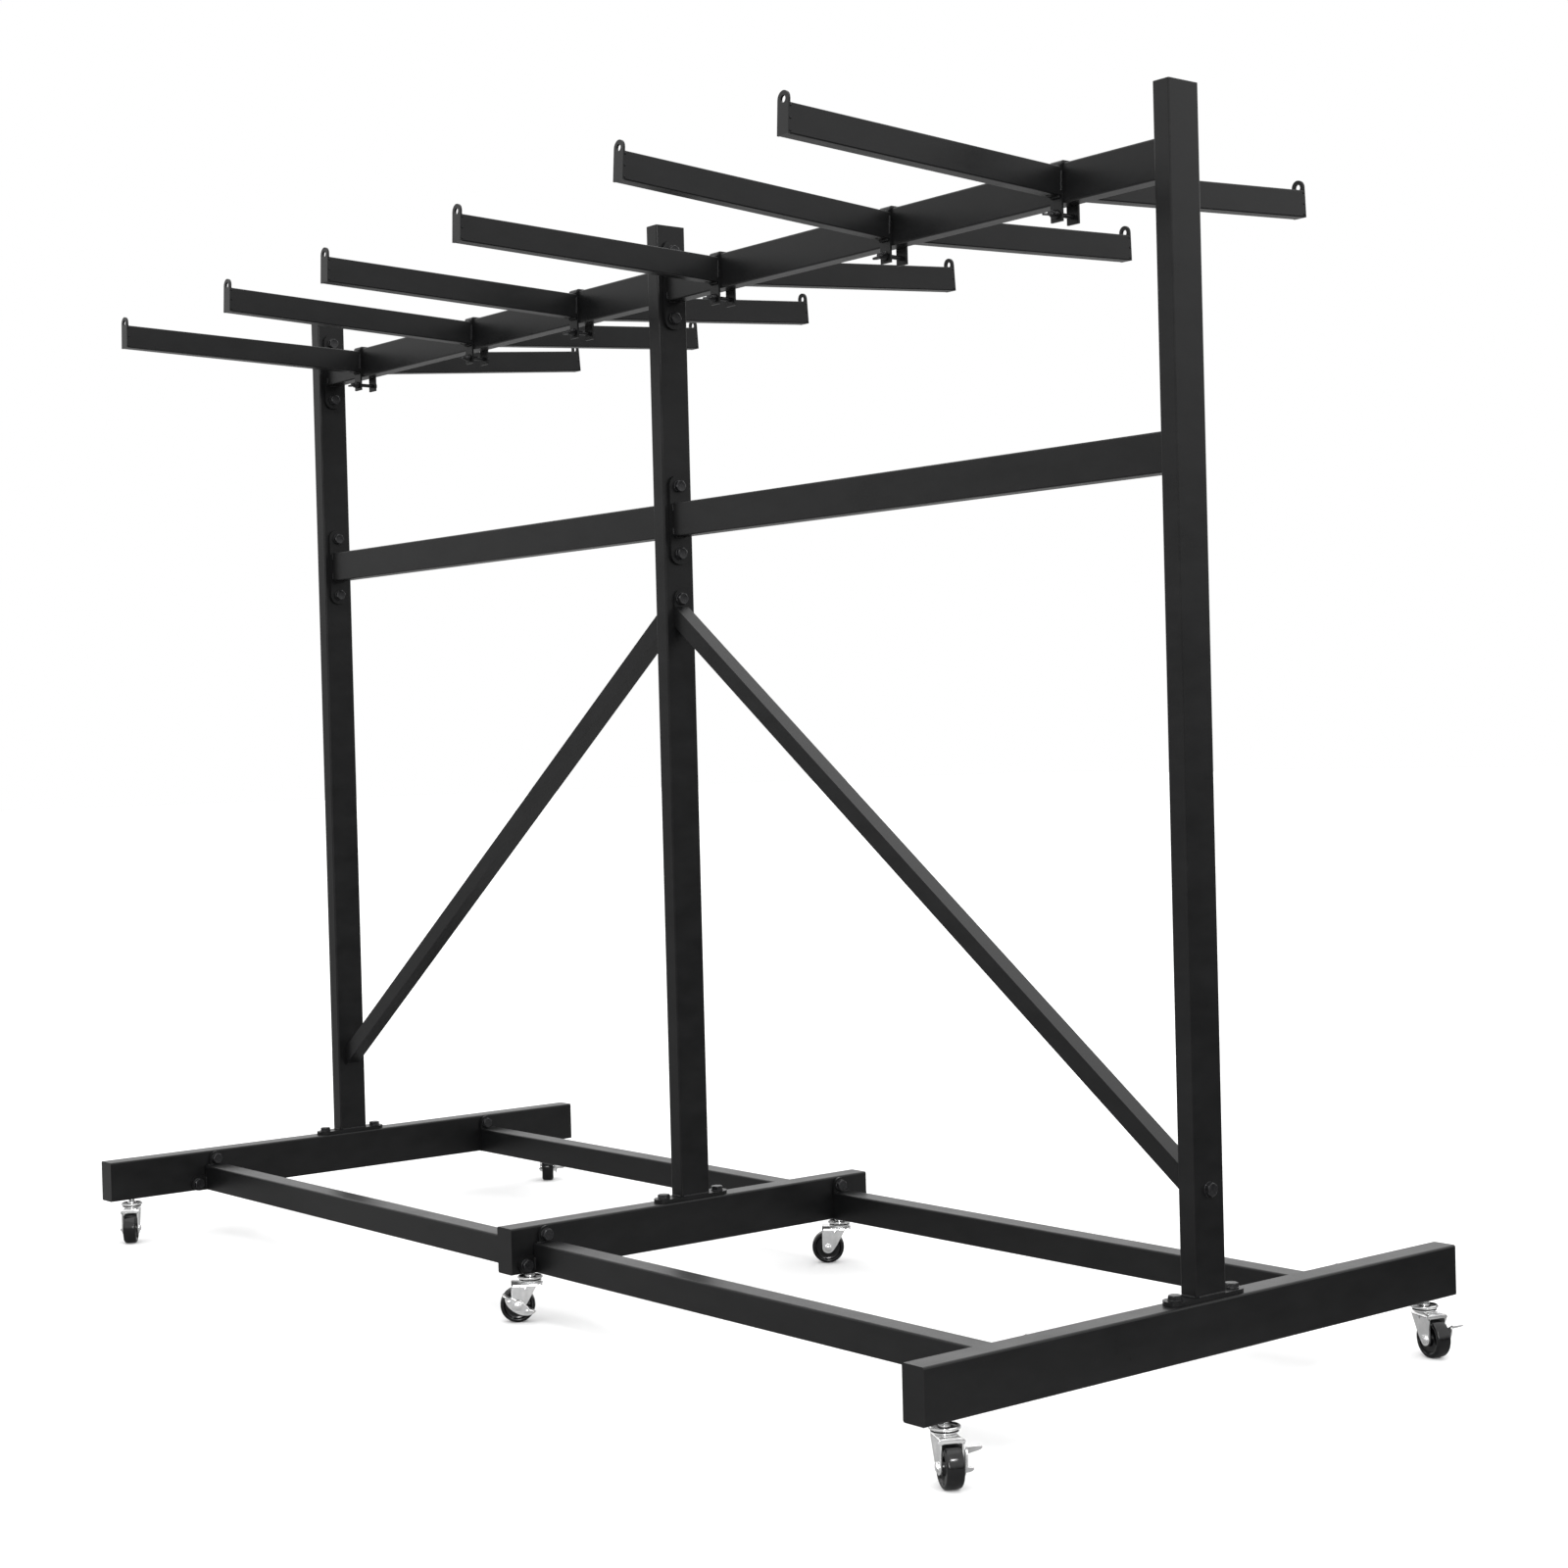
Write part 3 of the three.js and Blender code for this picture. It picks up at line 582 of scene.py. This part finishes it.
def add_frame_bolts(black):
    """Every hexagon bolt that holds the frame together."""
    mesh = bolt_head_mesh()
    turn = 0

    def add(name, place, direction):
        nonlocal turn
        turn += 1
        spin = Matrix.Rotation(math.radians(37 * turn), 4, "Z")
        add_piece(name, mesh, facing(place, direction) @ spin, "root", black)

    for column in COLUMNS:
        low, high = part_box(f"upright_{column}")
        x = (low.x + high.x) / 2
        plate_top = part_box(f"foot_{column}")[1].z + FOOT_PLATE_TOP
        for end, y in (("front", low.y + FOOT_BOLT_INSET), ("rear", high.y - FOOT_BOLT_INSET)):
            add(f"foot_bolt_{column}_{end}", (x, y, plate_top), "+z")

    for side in SIDES:
        for kind in ("top_beam", "mid_rail"):
            low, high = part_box(f"{kind}_{side}")
            for end, x, direction, _ in ends_of(low, high, END_PLATE):
                for level, z in (("lower", low.z + END_BOLT_INSET), ("upper", high.z - END_BOLT_INSET)):
                    add(f"{kind}_bolt_{side}_{end}_{level}", (x, 0, z), direction)

        low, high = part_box(f"brace_{side}")
        upright_low, upright_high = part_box(f"upright_{side}")
        if side == "right":
            outward = "+x"
            tab_face = low.x + BRACE_PLATE
            outer_face = upright_high.x - UPRIGHT_PLATE_MARGIN
        else:
            outward = "-x"
            tab_face = high.x - BRACE_PLATE
            outer_face = upright_low.x + UPRIGHT_PLATE_MARGIN
        add(f"brace_tab_bolt_{side}", (tab_face, 0, high.z - BRACE_TAB_BOLT), outward)
        add(f"brace_foot_bolt_{side}", (outer_face, 0, low.z + BRACE_FOOT_BOLT), outward)

        for end_name, inward in (("front", 1), ("rear", -1)):
            low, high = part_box(f"base_rail_{side}_{end_name}")
            outer = low.y if end_name == "front" else high.y
            upper_y = outer + inward * (RAIL_TAB_REACH + RAIL_WIDTH / 2 + RAIL_TAB_INSET)
            lower_y = outer + inward * RAIL_TAB_HALF
            for end, x, direction, _ in ends_of(low, high, END_PLATE):
                name = f"rail_bolt_{side}_{end_name}_{end}"
                add(f"{name}_upper", (x, upper_y, high.z - RAIL_TAB_HALF), direction)
                add(f"{name}_lower", (x, lower_y, low.z + RAIL_TAB_HALF), direction)


# ---------------------------------------------------------------- weld beads
def bead(points, radius, ripple=3.2 * MM, seed=0.0, sides=8):
    """A builder for a rippled weld bead along a path of points."""
    def build(bm):
        corners = [Vector(point) for point in points]
        rings = []
        travelled = 0.0
        for start, end in zip(corners, corners[1:]):
            along = end - start
            steps = max(2, int(along.length / (ripple / 4)))
            toward = along.normalized()
            side = toward.orthogonal().normalized()
            up = toward.cross(side)
            first = 0 if not rings else 1
            for i in range(first, steps + 1):
                s = travelled + along.length * i / steps
                swell = 1 + 0.16 * abs(math.sin(math.pi * s / ripple + seed))
                swell += 0.08 * math.sin(7.3 * s / ripple + seed)
                wander = 0.12 * radius * math.sin(2.1 * s / ripple + 3 * seed)
                middle = start + along * (i / steps) + side * wander
                ring = []
                for k in range(sides):
                    angle = 2 * math.pi * k / sides
                    outward = side * math.cos(angle) + up * math.sin(angle)
                    ring.append(middle + outward * radius * swell)
                rings.append(ring)
            travelled += along.length
        for tip in (0, -1):
            center = sum(rings[tip], Vector()) / sides
            rings[tip] = [center + (point - center) * 0.45 for point in rings[tip]]
        loft(bm, rings)
    return build


UPRIGHT_HALF_X = 13 * MM
UPRIGHT_HALF_Y = 26 * MM
BEAM_HALF_WIDTH = 12.5 * MM
BEAM_HALF_HEIGHT = 25 * MM


def foot_weld_beads(column, seed):
    """A bead along each side of the upright, where it stands on its foot plate."""
    low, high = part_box(f"upright_{column}")
    x = (low.x + high.x) / 2
    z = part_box(f"foot_{column}")[1].z + FOOT_PLATE_TOP + 0.6 * MM
    reach_x = UPRIGHT_HALF_X - 3 * MM
    reach_y = UPRIGHT_HALF_Y - 3 * MM
    beads = []
    for sign in (-1, 1):
        side_x = x + sign * UPRIGHT_HALF_X
        side_y = sign * UPRIGHT_HALF_Y
        along_y = [(side_x, -reach_y, z), (side_x, reach_y, z)]
        along_x = [(x - reach_x, side_y, z), (x + reach_x, side_y, z)]
        beads.append(bead(along_y, 1.9 * MM, seed=seed + 0.4 * sign))
        beads.append(bead(along_x, 1.7 * MM, seed=seed + 1.3 * sign))
    return beads


def beam_weld_beads(kind, side):
    """Short beads round both ends of a beam, with the corners left open."""
    low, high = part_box(f"{kind}_{side}")
    middle = (low.z + high.z) / 2
    beads = []
    for _, face, _, inward in ends_of(low, high, END_PLATE):
        x = face + inward * 0.5 * MM
        for y in (-BEAM_HALF_WIDTH, BEAM_HALF_WIDTH):
            for z_sign in (-1, 1):
                start = (x, y, middle + z_sign * 22.5 * MM)
                end = (x, y, middle + z_sign * 12 * MM)
                beads.append(bead([start, end], 1.7 * MM, seed=face * 7 + y * 90 + z_sign))
        for z_sign in (-1, 1):
            z = middle + z_sign * BEAM_HALF_HEIGHT
            beads.append(bead([(x, -9 * MM, z), (x, 9 * MM, z)], 1.6 * MM, seed=face * 5 + z_sign))
    return beads


def rail_weld_beads(side, end_name):
    """Beads over the top and down the outer side of a base rail, at both of its plates."""
    low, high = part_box(f"base_rail_{side}_{end_name}")
    outward = -1 if end_name == "front" else 1
    outer = low.y if end_name == "front" else high.y
    outer_face = outer - outward * RAIL_TAB_REACH
    inner_face = outer_face - outward * RAIL_WIDTH
    top = low.z + RAIL_HEIGHT
    inset = outward * 4 * MM
    beads = []
    for _, x, _, _ in ends_of(low, high, 4.5 * MM):
        over = [(x, outer_face - inset, top), (x, inner_face + inset, top)]
        down = [(x, outer_face, low.z + 4 * MM), (x, outer_face, low.z + 22 * MM)]
        beads.append(bead(over, 1.5 * MM, seed=x * 3 + outward))
        beads.append(bead(down, 1.5 * MM, seed=x * 2 - outward))
    return beads


def add_frame_welds(painted):
    """The weld beads of the uprights, the beams and the base rails."""
    def add(name, beads):
        mesh = mesh_from(name, together(*beads), 80)
        add_piece(name, mesh, Matrix.Identity(4), "root", painted)

    for seed, column in enumerate(COLUMNS):
        add(f"foot_weld_{column}", foot_weld_beads(column, seed))
    for side in SIDES:
        for kind in ("top_beam", "mid_rail"):
            add(f"{kind}_weld_{side}", beam_weld_beads(kind, side))
        for end_name in ("front", "rear"):
            add(f"rail_weld_{side}_{end_name}", rail_weld_beads(side, end_name))


ARM_HALF = 18.25 * MM
STRAP_FACE = 15.8 * MM
TIP_FACE = 449.8 * MM


def add_arm_welds(painted):
    """Fillets where each arm leaves its strap, and tacks where its tip plate is welded on."""
    for number in ARM_PAIRS:
        beads = []
        for sign, place in ((-1, "front"), (1, "rear")):
            rest = mounts[f"arm_rest_{number}_{place}"]
            up = Vector(rest["axis"])
            along = Vector((1, 0, 0)).cross(up) * -sign
            middle = Vector(rest["pos_m"]) - up * ARM_HALF

            def at(y, across, rise):
                """A point at a distance y from the beam, across and up from the arm's centre line."""
                reach = (sign * y - middle.y) / along.y
                return middle + along * reach + Vector((across, 0, 0)) + up * rise

            def run(y, start, end, radius, seed):
                beads.append(bead([at(y, *start), at(y, *end)], radius, seed=seed))

            corner = STRAP_FACE + 0.4 * MM
            for z_sign in (-1, 1):
                rise = z_sign * (ARM_HALF + 0.3 * MM)
                lean = 1.5 * MM if z_sign > 0 else 0
                seed = number + z_sign + 0.3 * sign
                run(corner + lean, (-8.6 * MM, rise), (8.6 * MM, rise), 2.2 * MM, seed)
            for x_sign in (-1, 1):
                side = x_sign * 9.9 * MM
                run(corner, (side, -13 * MM), (side, 13 * MM), 1.5 * MM, number * 1.7 + x_sign - sign)
                for z_sign in (-1, 0, 1):
                    rise = z_sign * 14.5 * MM
                    seed = number + x_sign + z_sign
                    run(TIP_FACE, (side, rise - 1.5 * MM), (side, rise + 1.5 * MM), 1.3 * MM, seed)
        name = f"arm_weld_{number}"
        mesh = mesh_from(name, together(*beads), 80)
        add_piece(name, mesh, Matrix.Identity(4), f"arm_carrier_{number}", painted)


# ---------------------------------------------------------------- clamp bolts and wing nuts
def thread(radius, low, high, pitch, sides=24):
    """A builder for a threaded rod on Z, its crests in rings, with a chamfered free end."""
    def build(bm):
        profile = [(0.05 * MM, low)]
        depth = 0.3 * pitch
        count = int((high - low) / pitch)
        for i in range(count):
            z = low + i * pitch
            profile.append((radius - depth, z))
            profile.append((radius, z + 0.35 * pitch))
            profile.append((radius, z + 0.55 * pitch))
        profile.append((radius - depth, low + count * pitch))
        profile.append((radius - 1.6 * depth, high))
        profile.append((0.05 * MM, high))
        turned(profile, sides)(bm)
    return build


def wing_outline():
    """One wing in (across, along): out from the hub, up to a rounded tip and back."""
    points = [(3.4, 0.7), (7.4, 1.2), (9.6, 2.6), (11.6, 5.0)]
    points += arc((11.3, 9.6), 2.7, -15, 150, 8)
    points += [(7.6, 9.0), (6.0, 7.9), (3.4, 7.6)]
    return [(x * MM, y * MM) for x, y in points]


def wing_nut_mesh():
    """A waisted hub, bored for its bolt, and two wings; it is drawn along Z from its seat."""
    hub = [(3.25, 0.0), (5.9, 0.0), (6.1, 0.3), (6.0, 1.4), (5.3, 3.0)]
    hub += [(4.8, 7.4), (4.5, 7.9), (4.1, 8.0), (3.25, 8.0)]
    hub = [(radius * MM, height * MM) for radius, height in hub]
    right = wing_outline()
    left = [(-x, y) for x, y in right][::-1]
    upright = Matrix(((0, 0, 1, 0), (1, 0, 0, 0), (0, 1, 0, 0), (0, 0, 0, 1)))
    half = 1.25 * MM
    wings = [shifted(plate(outline, -half, half, 0.8 * MM, 3), upright) for outline in (right, left)]
    return mesh_from("wing_nut", together(turned_ring(hub, 40), *wings), 40)


def clamp_bolt_mesh():
    """Drawn along Z: the head's seat at 0, the shank down to the threaded tail."""
    head = hexagon_head(10 * MM, SCREW_HEAD)
    tail = -45.0 * MM
    grip = [(0.05, 0.5), (3.0, 0.4), (3.0, -27.0), (0.05, -27.0)]
    grip = [(radius * MM, height * MM) for radius, height in grip]
    screw = shifted(thread(3.0 * MM, 0, -27.0 * MM - tail, 1.0 * MM), Matrix.Translation((0, 0, tail)))
    return mesh_from("clamp_bolt", together(head, turned(grip, 24), screw), 28)


NUT_LEANS = (4, -9, 7, -3, 12, -6)  # how many degrees each wing nut stands off upright
SCREW_HEAD = 4 * MM


def add_clamps(black):
    """The screw through each strap, and the wing nut on its threaded end."""
    nut_mesh = wing_nut_mesh()
    bolt_mesh = clamp_bolt_mesh()
    for number in ARM_PAIRS:
        joint = joints[f"wing_nut_turn_{number}"]
        seat = Vector(joint["pos_m"])
        seat.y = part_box(f"wing_nut_{number}")[1].y
        lean = Matrix.Rotation(math.radians(NUT_LEANS[number - 1]), 4, "Z")
        vertical = Matrix.Rotation(math.pi / 2, 4, "Z")
        add_piece(f"wing_nut_cast_{number}", nut_mesh, facing(seat, "-y") @ vertical @ lean,
                  f"wing_nut_body_{number}", black, [f"wing_nut_{number}"])
        head_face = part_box(f"clamp_bolt_{number}")[1].y
        head_seat = Vector((seat.x, head_face - SCREW_HEAD, seat.z))
        add_piece(f"clamp_screw_{number}", bolt_mesh, facing(head_seat, "+y"),
                  f"arm_carrier_{number}", black, [f"clamp_bolt_{number}"])


# ---------------------------------------------------------------- casters
TRAIL = 18.6 * MM
AXLE_Z = 25 * MM
LEG_INNER = 11.75 * MM
SHEET = 2.2 * MM
CROWN_TOP = 57.8 * MM
EYE = 9 * MM
BACK = 27.6 * MM
FRONT = -16.5 * MM
LEG_FRONT = -8 * MM
LIP_LOW = 52.3 * MM
RELEASED_LEVER = 48  # degrees that a released brake lever is raised; its joint turns down from there


def leg_span(z):
    """Where a fork leg starts and ends along the trail at a height."""
    low = AXLE_Z - EYE
    if z <= AXLE_Z:
        reach = math.sqrt(max(0.0, EYE ** 2 - (z - AXLE_Z) ** 2))
        back = TRAIL + reach
    else:
        back = BACK
    tangent = Vector((TRAIL - 7.0 * MM, AXLE_Z - 5.6 * MM))
    top = Vector((LEG_FRONT, CROWN_TOP - 6 * MM))
    if z <= tangent.y:
        front = TRAIL - math.sqrt(max(0.0, EYE ** 2 - (z - AXLE_Z) ** 2))
    else:
        share = min(1.0, (z - tangent.y) / (top.y - tangent.y))
        bulge = -1.8 * MM * math.sin(math.pi * share)
        front = tangent.x + (top.x - tangent.x) * share + bulge * (1 - share)
    return (front, back) if z > low else (TRAIL, TRAIL)


def fork_sheet(bm):
    """The fork's bent sheet as a single surface: leg, bend, crown, bend, leg."""
    bend = 4.5 * MM
    crown = CROWN_TOP - SHEET / 2
    mid = LEG_INNER + SHEET / 2
    path = []
    leg_steps = 16
    for i in range(leg_steps + 1):
        z = AXLE_Z - EYE + 0.12 * MM + (crown - bend - AXLE_Z + EYE - 0.12 * MM) * (i / leg_steps) ** 1.15
        path.append((-mid, z))
    for y, z in arc((-mid + bend, crown - bend), bend, 180, 90, 5)[1:]:
        path.append((y, z))
    path += [(-3.5 * MM, crown), (0.0, crown)]
    path += [(-y, z) for y, z in path[::-1]][1:]
    columns = 24
    rows = []
    for y, z in path:
        front, back = leg_span(min(z, crown - bend))
        if z > crown - bend:
            share = (z - crown + bend) / bend
            front += (FRONT - front) * share ** 1.5
            front -= 1.2 * MM * share * max(0.0, 1 - (y / mid) ** 2)
            back -= 0.8 * MM * share * (y / mid) ** 2
        row = []
        for j in range(columns + 1):
            t = front + (back - front) * j / columns
            swell = 0.0
            if z < crown - bend:
                rib = math.exp(-((t - 8 * MM) / (1.9 * MM)) ** 2)
                swell = 1.1 * MM * rib * min(1.0, max(0.0, (z - 30 * MM) / (8 * MM)))
            row.append((t, y + math.copysign(swell, y), z))
        rows.append(row)
    loft(bm, rows, close_ends=False, closed_rings=False)


def crown_lips():
    """The crown's front and back edges turned down: across in X, up in Y, pushed along the trail."""
    stand = Matrix(((0, 0, 1, 0), (1, 0, 0, 0), (0, 1, 0, 0), (0, 0, 0, 1)))
    top = (CROWN_TOP - 0.6 * MM) / MM
    low = LIP_LOW / MM
    back = [(-12.4, top), (-14.4, top - 1.6), (-15.9, low + 1.2), (-15.6, low - 0.4), (-14.0, low - 2.8)]
    back += [(-12.6, low - 2.4), (-11.4, low - 1.0), (-9.6, low)]
    back += [(-x, z) for x, z in back[::-1]]
    front = [(-9.8, top), (-10.6, top - 1.6), (-9.6, low + 1.2), (-7.6, low)]
    front += [(-x, z) for x, z in front[::-1]]
    rims = []
    for outline, x in ((back, BACK - SHEET), (front, FRONT - 0.4 * MM)):
        outline = [(across * MM, up * MM) for across, up in outline]
        rims.append(shifted(plate(outline, x, x + SHEET, 0.5 * MM), stand))
    return together(*rims)


def fork_mesh():
    """The fork's sheet made solid and rounded, as a finished mesh."""
    sheet = mesh_from("fork_sheet", fork_sheet, 60)
    carrier = bpy.data.objects.new("fork_sheet", sheet)
    bpy.context.collection.objects.link(carrier)
    thickness = carrier.modifiers.new("thickness", "SOLIDIFY")
    thickness.thickness = SHEET
    thickness.offset = 0
    thickness.use_even_offset = True
    rounding = carrier.modifiers.new("rounding", "BEVEL")
    rounding.width = 0.5 * MM
    rounding.segments = 2
    rounding.limit_method = "ANGLE"
    rounding.angle_limit = math.radians(50)
    bpy.context.view_layer.update()
    depsgraph = bpy.context.evaluated_depsgraph_get()
    solid = bpy.data.meshes.new_from_object(carrier.evaluated_get(depsgraph))
    bpy.data.objects.remove(carrier)
    finish_mesh(solid, 40)
    return solid


def race_profile():
    """The pressed ball race on the crown, with a groove round it where the balls run."""
    points = [
        (5.4, 57.0), (12.9, 57.0), (12.9, 58.4), (15.2, 58.5), (15.9, 58.9), (15.9, 59.6), (15.2, 60.0),
        (12.6, 60.2), (12.3, 60.6), (12.2, 61.0), (5.4, 61.0),
    ]
    return [(radius * MM, height * MM) for radius, height in points]


def axle_builder(braked):
    """Axle with a nut and screw end on one side and a domed flanged head on the other, along Y."""
    outer = LEG_INNER + SHEET
    seat = 16.55 * MM if braked else outer
    pin = [(0.05, -outer / MM), (3.9, -outer / MM), (3.9, seat / MM), (0.05, seat / MM)]
    pin = [(radius * MM, height * MM) for radius, height in pin]
    head = [(0.05, 0), (6.0, 0), (6.0, 0.8), (5.2, 1.1), (4.6, 2.2), (3.4, 2.9), (1.5, 3.2), (0.05, 3.2)]
    head = [(radius * MM, height * MM) for radius, height in head]
    nut = hexagon_head(10 * MM, 2.6 * MM)
    stub = [(0.05, 0), (2.9, 0), (2.9, 2.9), (2.4, 3.2), (0.05, 3.2)]
    stub = [(radius * MM, height * MM) for radius, height in stub]
    washer = [(0.05, 0), (5.9, 0), (5.9, 0.7), (0.05, 0.7)]
    washer = [(radius * MM, height * MM) for radius, height in washer]
    place = Matrix.Translation((TRAIL, 0, AXLE_Z))
    along = place @ AXIS_TURNS["+y"]
    far = place @ Matrix.Translation((0, seat, 0)) @ AXIS_TURNS["+y"]
    near = place @ Matrix.Translation((0, -outer, 0)) @ AXIS_TURNS["-y"]
    return together(
        shifted(turned(pin, 24), along),
        shifted(turned(head, 32), far),
        shifted(nut, near),
        shifted(turned(stub, 20), near),
        shifted(turned(washer, 32), near),
    )


def wheel_profile():
    """The wheel's closed section in (radius, width): tread, rounded shoulders, web recess and hub."""
    half = 10.5
    shoulder = 3.4
    right = [(25.0, 0.0), (24.98, 2.0), (24.9, 4.5), (24.75, 7.1)]
    right += arc((24.75 - shoulder, half - shoulder), shoulder, 6, 90, 8)[1:]
    right += [(20.6, 10.5), (20.0, 10.2), (19.4, 9.2), (18.6, 7.4), (17.8, 7.0), (11.2, 7.0), (10.2, 7.4)]
    right += [(9.4, 9.0), (9.0, 10.6), (8.4, 11.1), (4.45, 11.1), (4.45, 0.0)]
    left = [(radius, -width) for radius, width in right[1:-1]][::-1]
    return [(radius * MM, width * MM) for radius, width in right + left]


def stem_profile():
    """Rivet, pin, dished top cup and threaded stem in one turned outline."""
    points = [(0.05, 52.3), (5.0, 52.4), (7.4, 53.2), (8.0, 54.2), (7.9, 55.3), (4.95, 55.3), (4.95, 61.3)]
    points += [(14.5, 61.3), (16.6, 61.6), (17.7, 62.5), (18.0, 63.7), (17.7, 64.8), (17.0, 65.4)]
    points += [(16.2, 65.4), (15.5, 64.9), (14.4, 64.0), (11.5, 63.6), (8.6, 63.9), (7.6, 64.8)]
    points += [(7.3, 66.6), (4.95, 66.8)]
    pitch = 1.5
    first = 67.2
    rows = int((105 - first) / pitch)
    for i in range(rows):
        z = first + pitch * i
        points += [(4.35, z), (4.97, z + 0.55), (4.97, z + 0.85)]
    points += [(4.35, first + pitch * rows), (4.0, 105.8), (0.05, 105.9)]
    return [(radius * MM, height * MM) for radius, height in points]


TAB_ROOT = 14.4  # millimetres from the lever's middle plane to where its tabs leave the plate
TAB_LOW, TAB_HIGH = 4.45 * MM, 6.35 * MM


def fin_outline(inner, outer, tip, tip_radius, reach):
    """A bent tab seen square on: it narrows from its root on the plate to a round tip."""
    points = [(inner, TAB_ROOT), (outer, TAB_ROOT)]
    points += arc((tip, reach - tip_radius), tip_radius, 0, 180, 12)
    return [(x * MM, y * MM) for x, y in points]


def brake_builder():
    """The stamped lever in its own level frame: X along its straight edge, Y outwards, Z up."""
    stand = Matrix(((1, 0, 0, 0), (0, 0, -1, 0), (0, 1, 0, 0), (0, 0, 0, 1)))
    hull = [(24.5 * x - 1.5, 15.8 * y + 6.0) for x, y in arc((0, 0), 1, 180, 360, 36)]
    body = [(x * MM, y * MM) for x, y in hull]
    strip = [(-25.4, 4.6), (-24.2, 4.4), (27.5, 4.4), (27.8, 4.8)]
    strip += [(27.8, 6.0), (27.4, 6.4), (-25.2, 6.4), (-25.6, 6.0)]
    strip = [(x * MM, y * MM) for x, y in strip]
    low, high = -16.2 * MM, -14.35 * MM
    boss = [(6.6, 15.6), (7.2, 17.1), (8.3, 17.2), (9.3, 15.6)]
    boss = [(radius * MM, height * MM) for radius, height in boss]
    dimple = [(0.05, 15.6), (3.2, 15.9), (2.7, 16.8), (1.6, 17.2), (0.05, 17.25)]
    dimple = [(radius * MM, height * MM) for radius, height in dimple]
    outward = AXIS_TURNS["-y"] @ Matrix.Rotation(math.pi, 4, "X")
    rings = [shifted(turned_ring(boss, 48), outward)]
    for x, z in ((-15.4, -0.4), (13.8, -0.6), (-20.0, 3.0)):
        rings.append(shifted(turned(dimple, 24), Matrix.Translation((x * MM, 0, z * MM)) @ outward))
    press = plate(fin_outline(12.2, 27.7, 23.6, 4.0, 33.2), TAB_LOW, TAB_HIGH, 0.5 * MM)
    lift = plate(fin_outline(-25.4, -10.8, -18.8, 4.4, 32.0), TAB_LOW, TAB_HIGH, 0.5 * MM)
    return together(
        shifted(plate(body, low, high, 0.5 * MM), stand),
        shifted(plate(strip, low, high, 0.4 * MM), stand),
        *rings,
        press,
        lift,
    )


def add_casters(zinc, tyre):
    """The stem, fork, wheel and, where there is one, brake lever of every caster."""
    sheet = fork_mesh()
    shared = {}
    for braked in (True, False):
        race = turned_ring(race_profile(), 56)
        hardware = mesh_from("caster_axle", together(race, crown_lips(), axle_builder(braked)), 34)
        bm = bmesh.new()
        bm.from_mesh(sheet)
        bm.from_mesh(hardware)
        mesh = bpy.data.meshes.new("caster_fork")
        bm.to_mesh(mesh)
        bm.free()
        finish_mesh(mesh, 34)
        shared[braked] = mesh
    wheel = mesh_from("caster_wheel", turned_ring(wheel_profile(), 96), 30)
    stem = mesh_from("caster_stem", turned(stem_profile(), 40), 30)
    brake = mesh_from("caster_brake", brake_builder(), 34)
    for name in CASTERS:
        swivel = joints[f"swivel_{name}"]
        rolling = joints[f"wheel_{name}"]
        stand = Vector((swivel["pos_m"][0], swivel["pos_m"][1], 0))
        axle = Vector(rolling["pos_m"])
        trail = math.atan2(axle.y - stand.y, axle.x - stand.x)
        upright = Matrix.Translation(stand)
        turned_place = upright @ Matrix.Rotation(trail, 4, "Z")
        add_piece(f"stem_{name}", stem, upright, "root", zinc, [f"caster_stem_{name}"])
        fork = shared[name in BRAKED]
        add_piece(f"fork_{name}", fork, turned_place, f"swivel_{name}", zinc,
                  [f"caster_fork_{name}"])
        hub = turned_place @ Matrix.Translation((TRAIL, 0, AXLE_Z))
        add_piece(f"wheel_{name}", wheel, hub @ AXIS_TURNS["+y"], f"roller_{name}", tyre,
                  [f"caster_wheel_{name}"])
        if name in BRAKED:
            raised = RELEASED_LEVER + joints[f"brake_{name}"]["range_deg"][0]
            lever = hub @ Matrix.Rotation(math.radians(-raised), 4, "Y")
            add_piece(f"brake_lever_{name}", brake, lever, f"brake_{name}", zinc,
                      [f"caster_brake_{name}"])


# ---------------------------------------------------------------- carried-over frame
FRAME_KINDS = ("foot_", "upright_", "base_rail_", "top_beam_", "mid_rail_", "brace_", "arm_pair_")
FOOT_EDGE = 0.9 * MM
TUBE_EDGE = 0.5 * MM


def dress_frame(black):
    """Gives each frame tube its coat and the small edge rounding of formed and sheared steel."""
    for name, node in nodes.items():
        if not name.startswith(FRAME_KINDS):
            continue
        node.data.materials.clear()
        node.data.materials.append(black)
        finish_mesh(node.data, 50)
        soften(node, FOOT_EDGE if name.startswith("foot_") else TUBE_EDGE)


make_camera()
make_stage()
powder = powder_coat()
oxide = black_oxide()
painted_weld = weld_paint()
dress_frame(powder)
add_frame_bolts(oxide)
add_frame_welds(painted_weld)
add_arm_welds(painted_weld)
add_clamps(oxide)
add_casters(zinc_plate(), wheel_black())
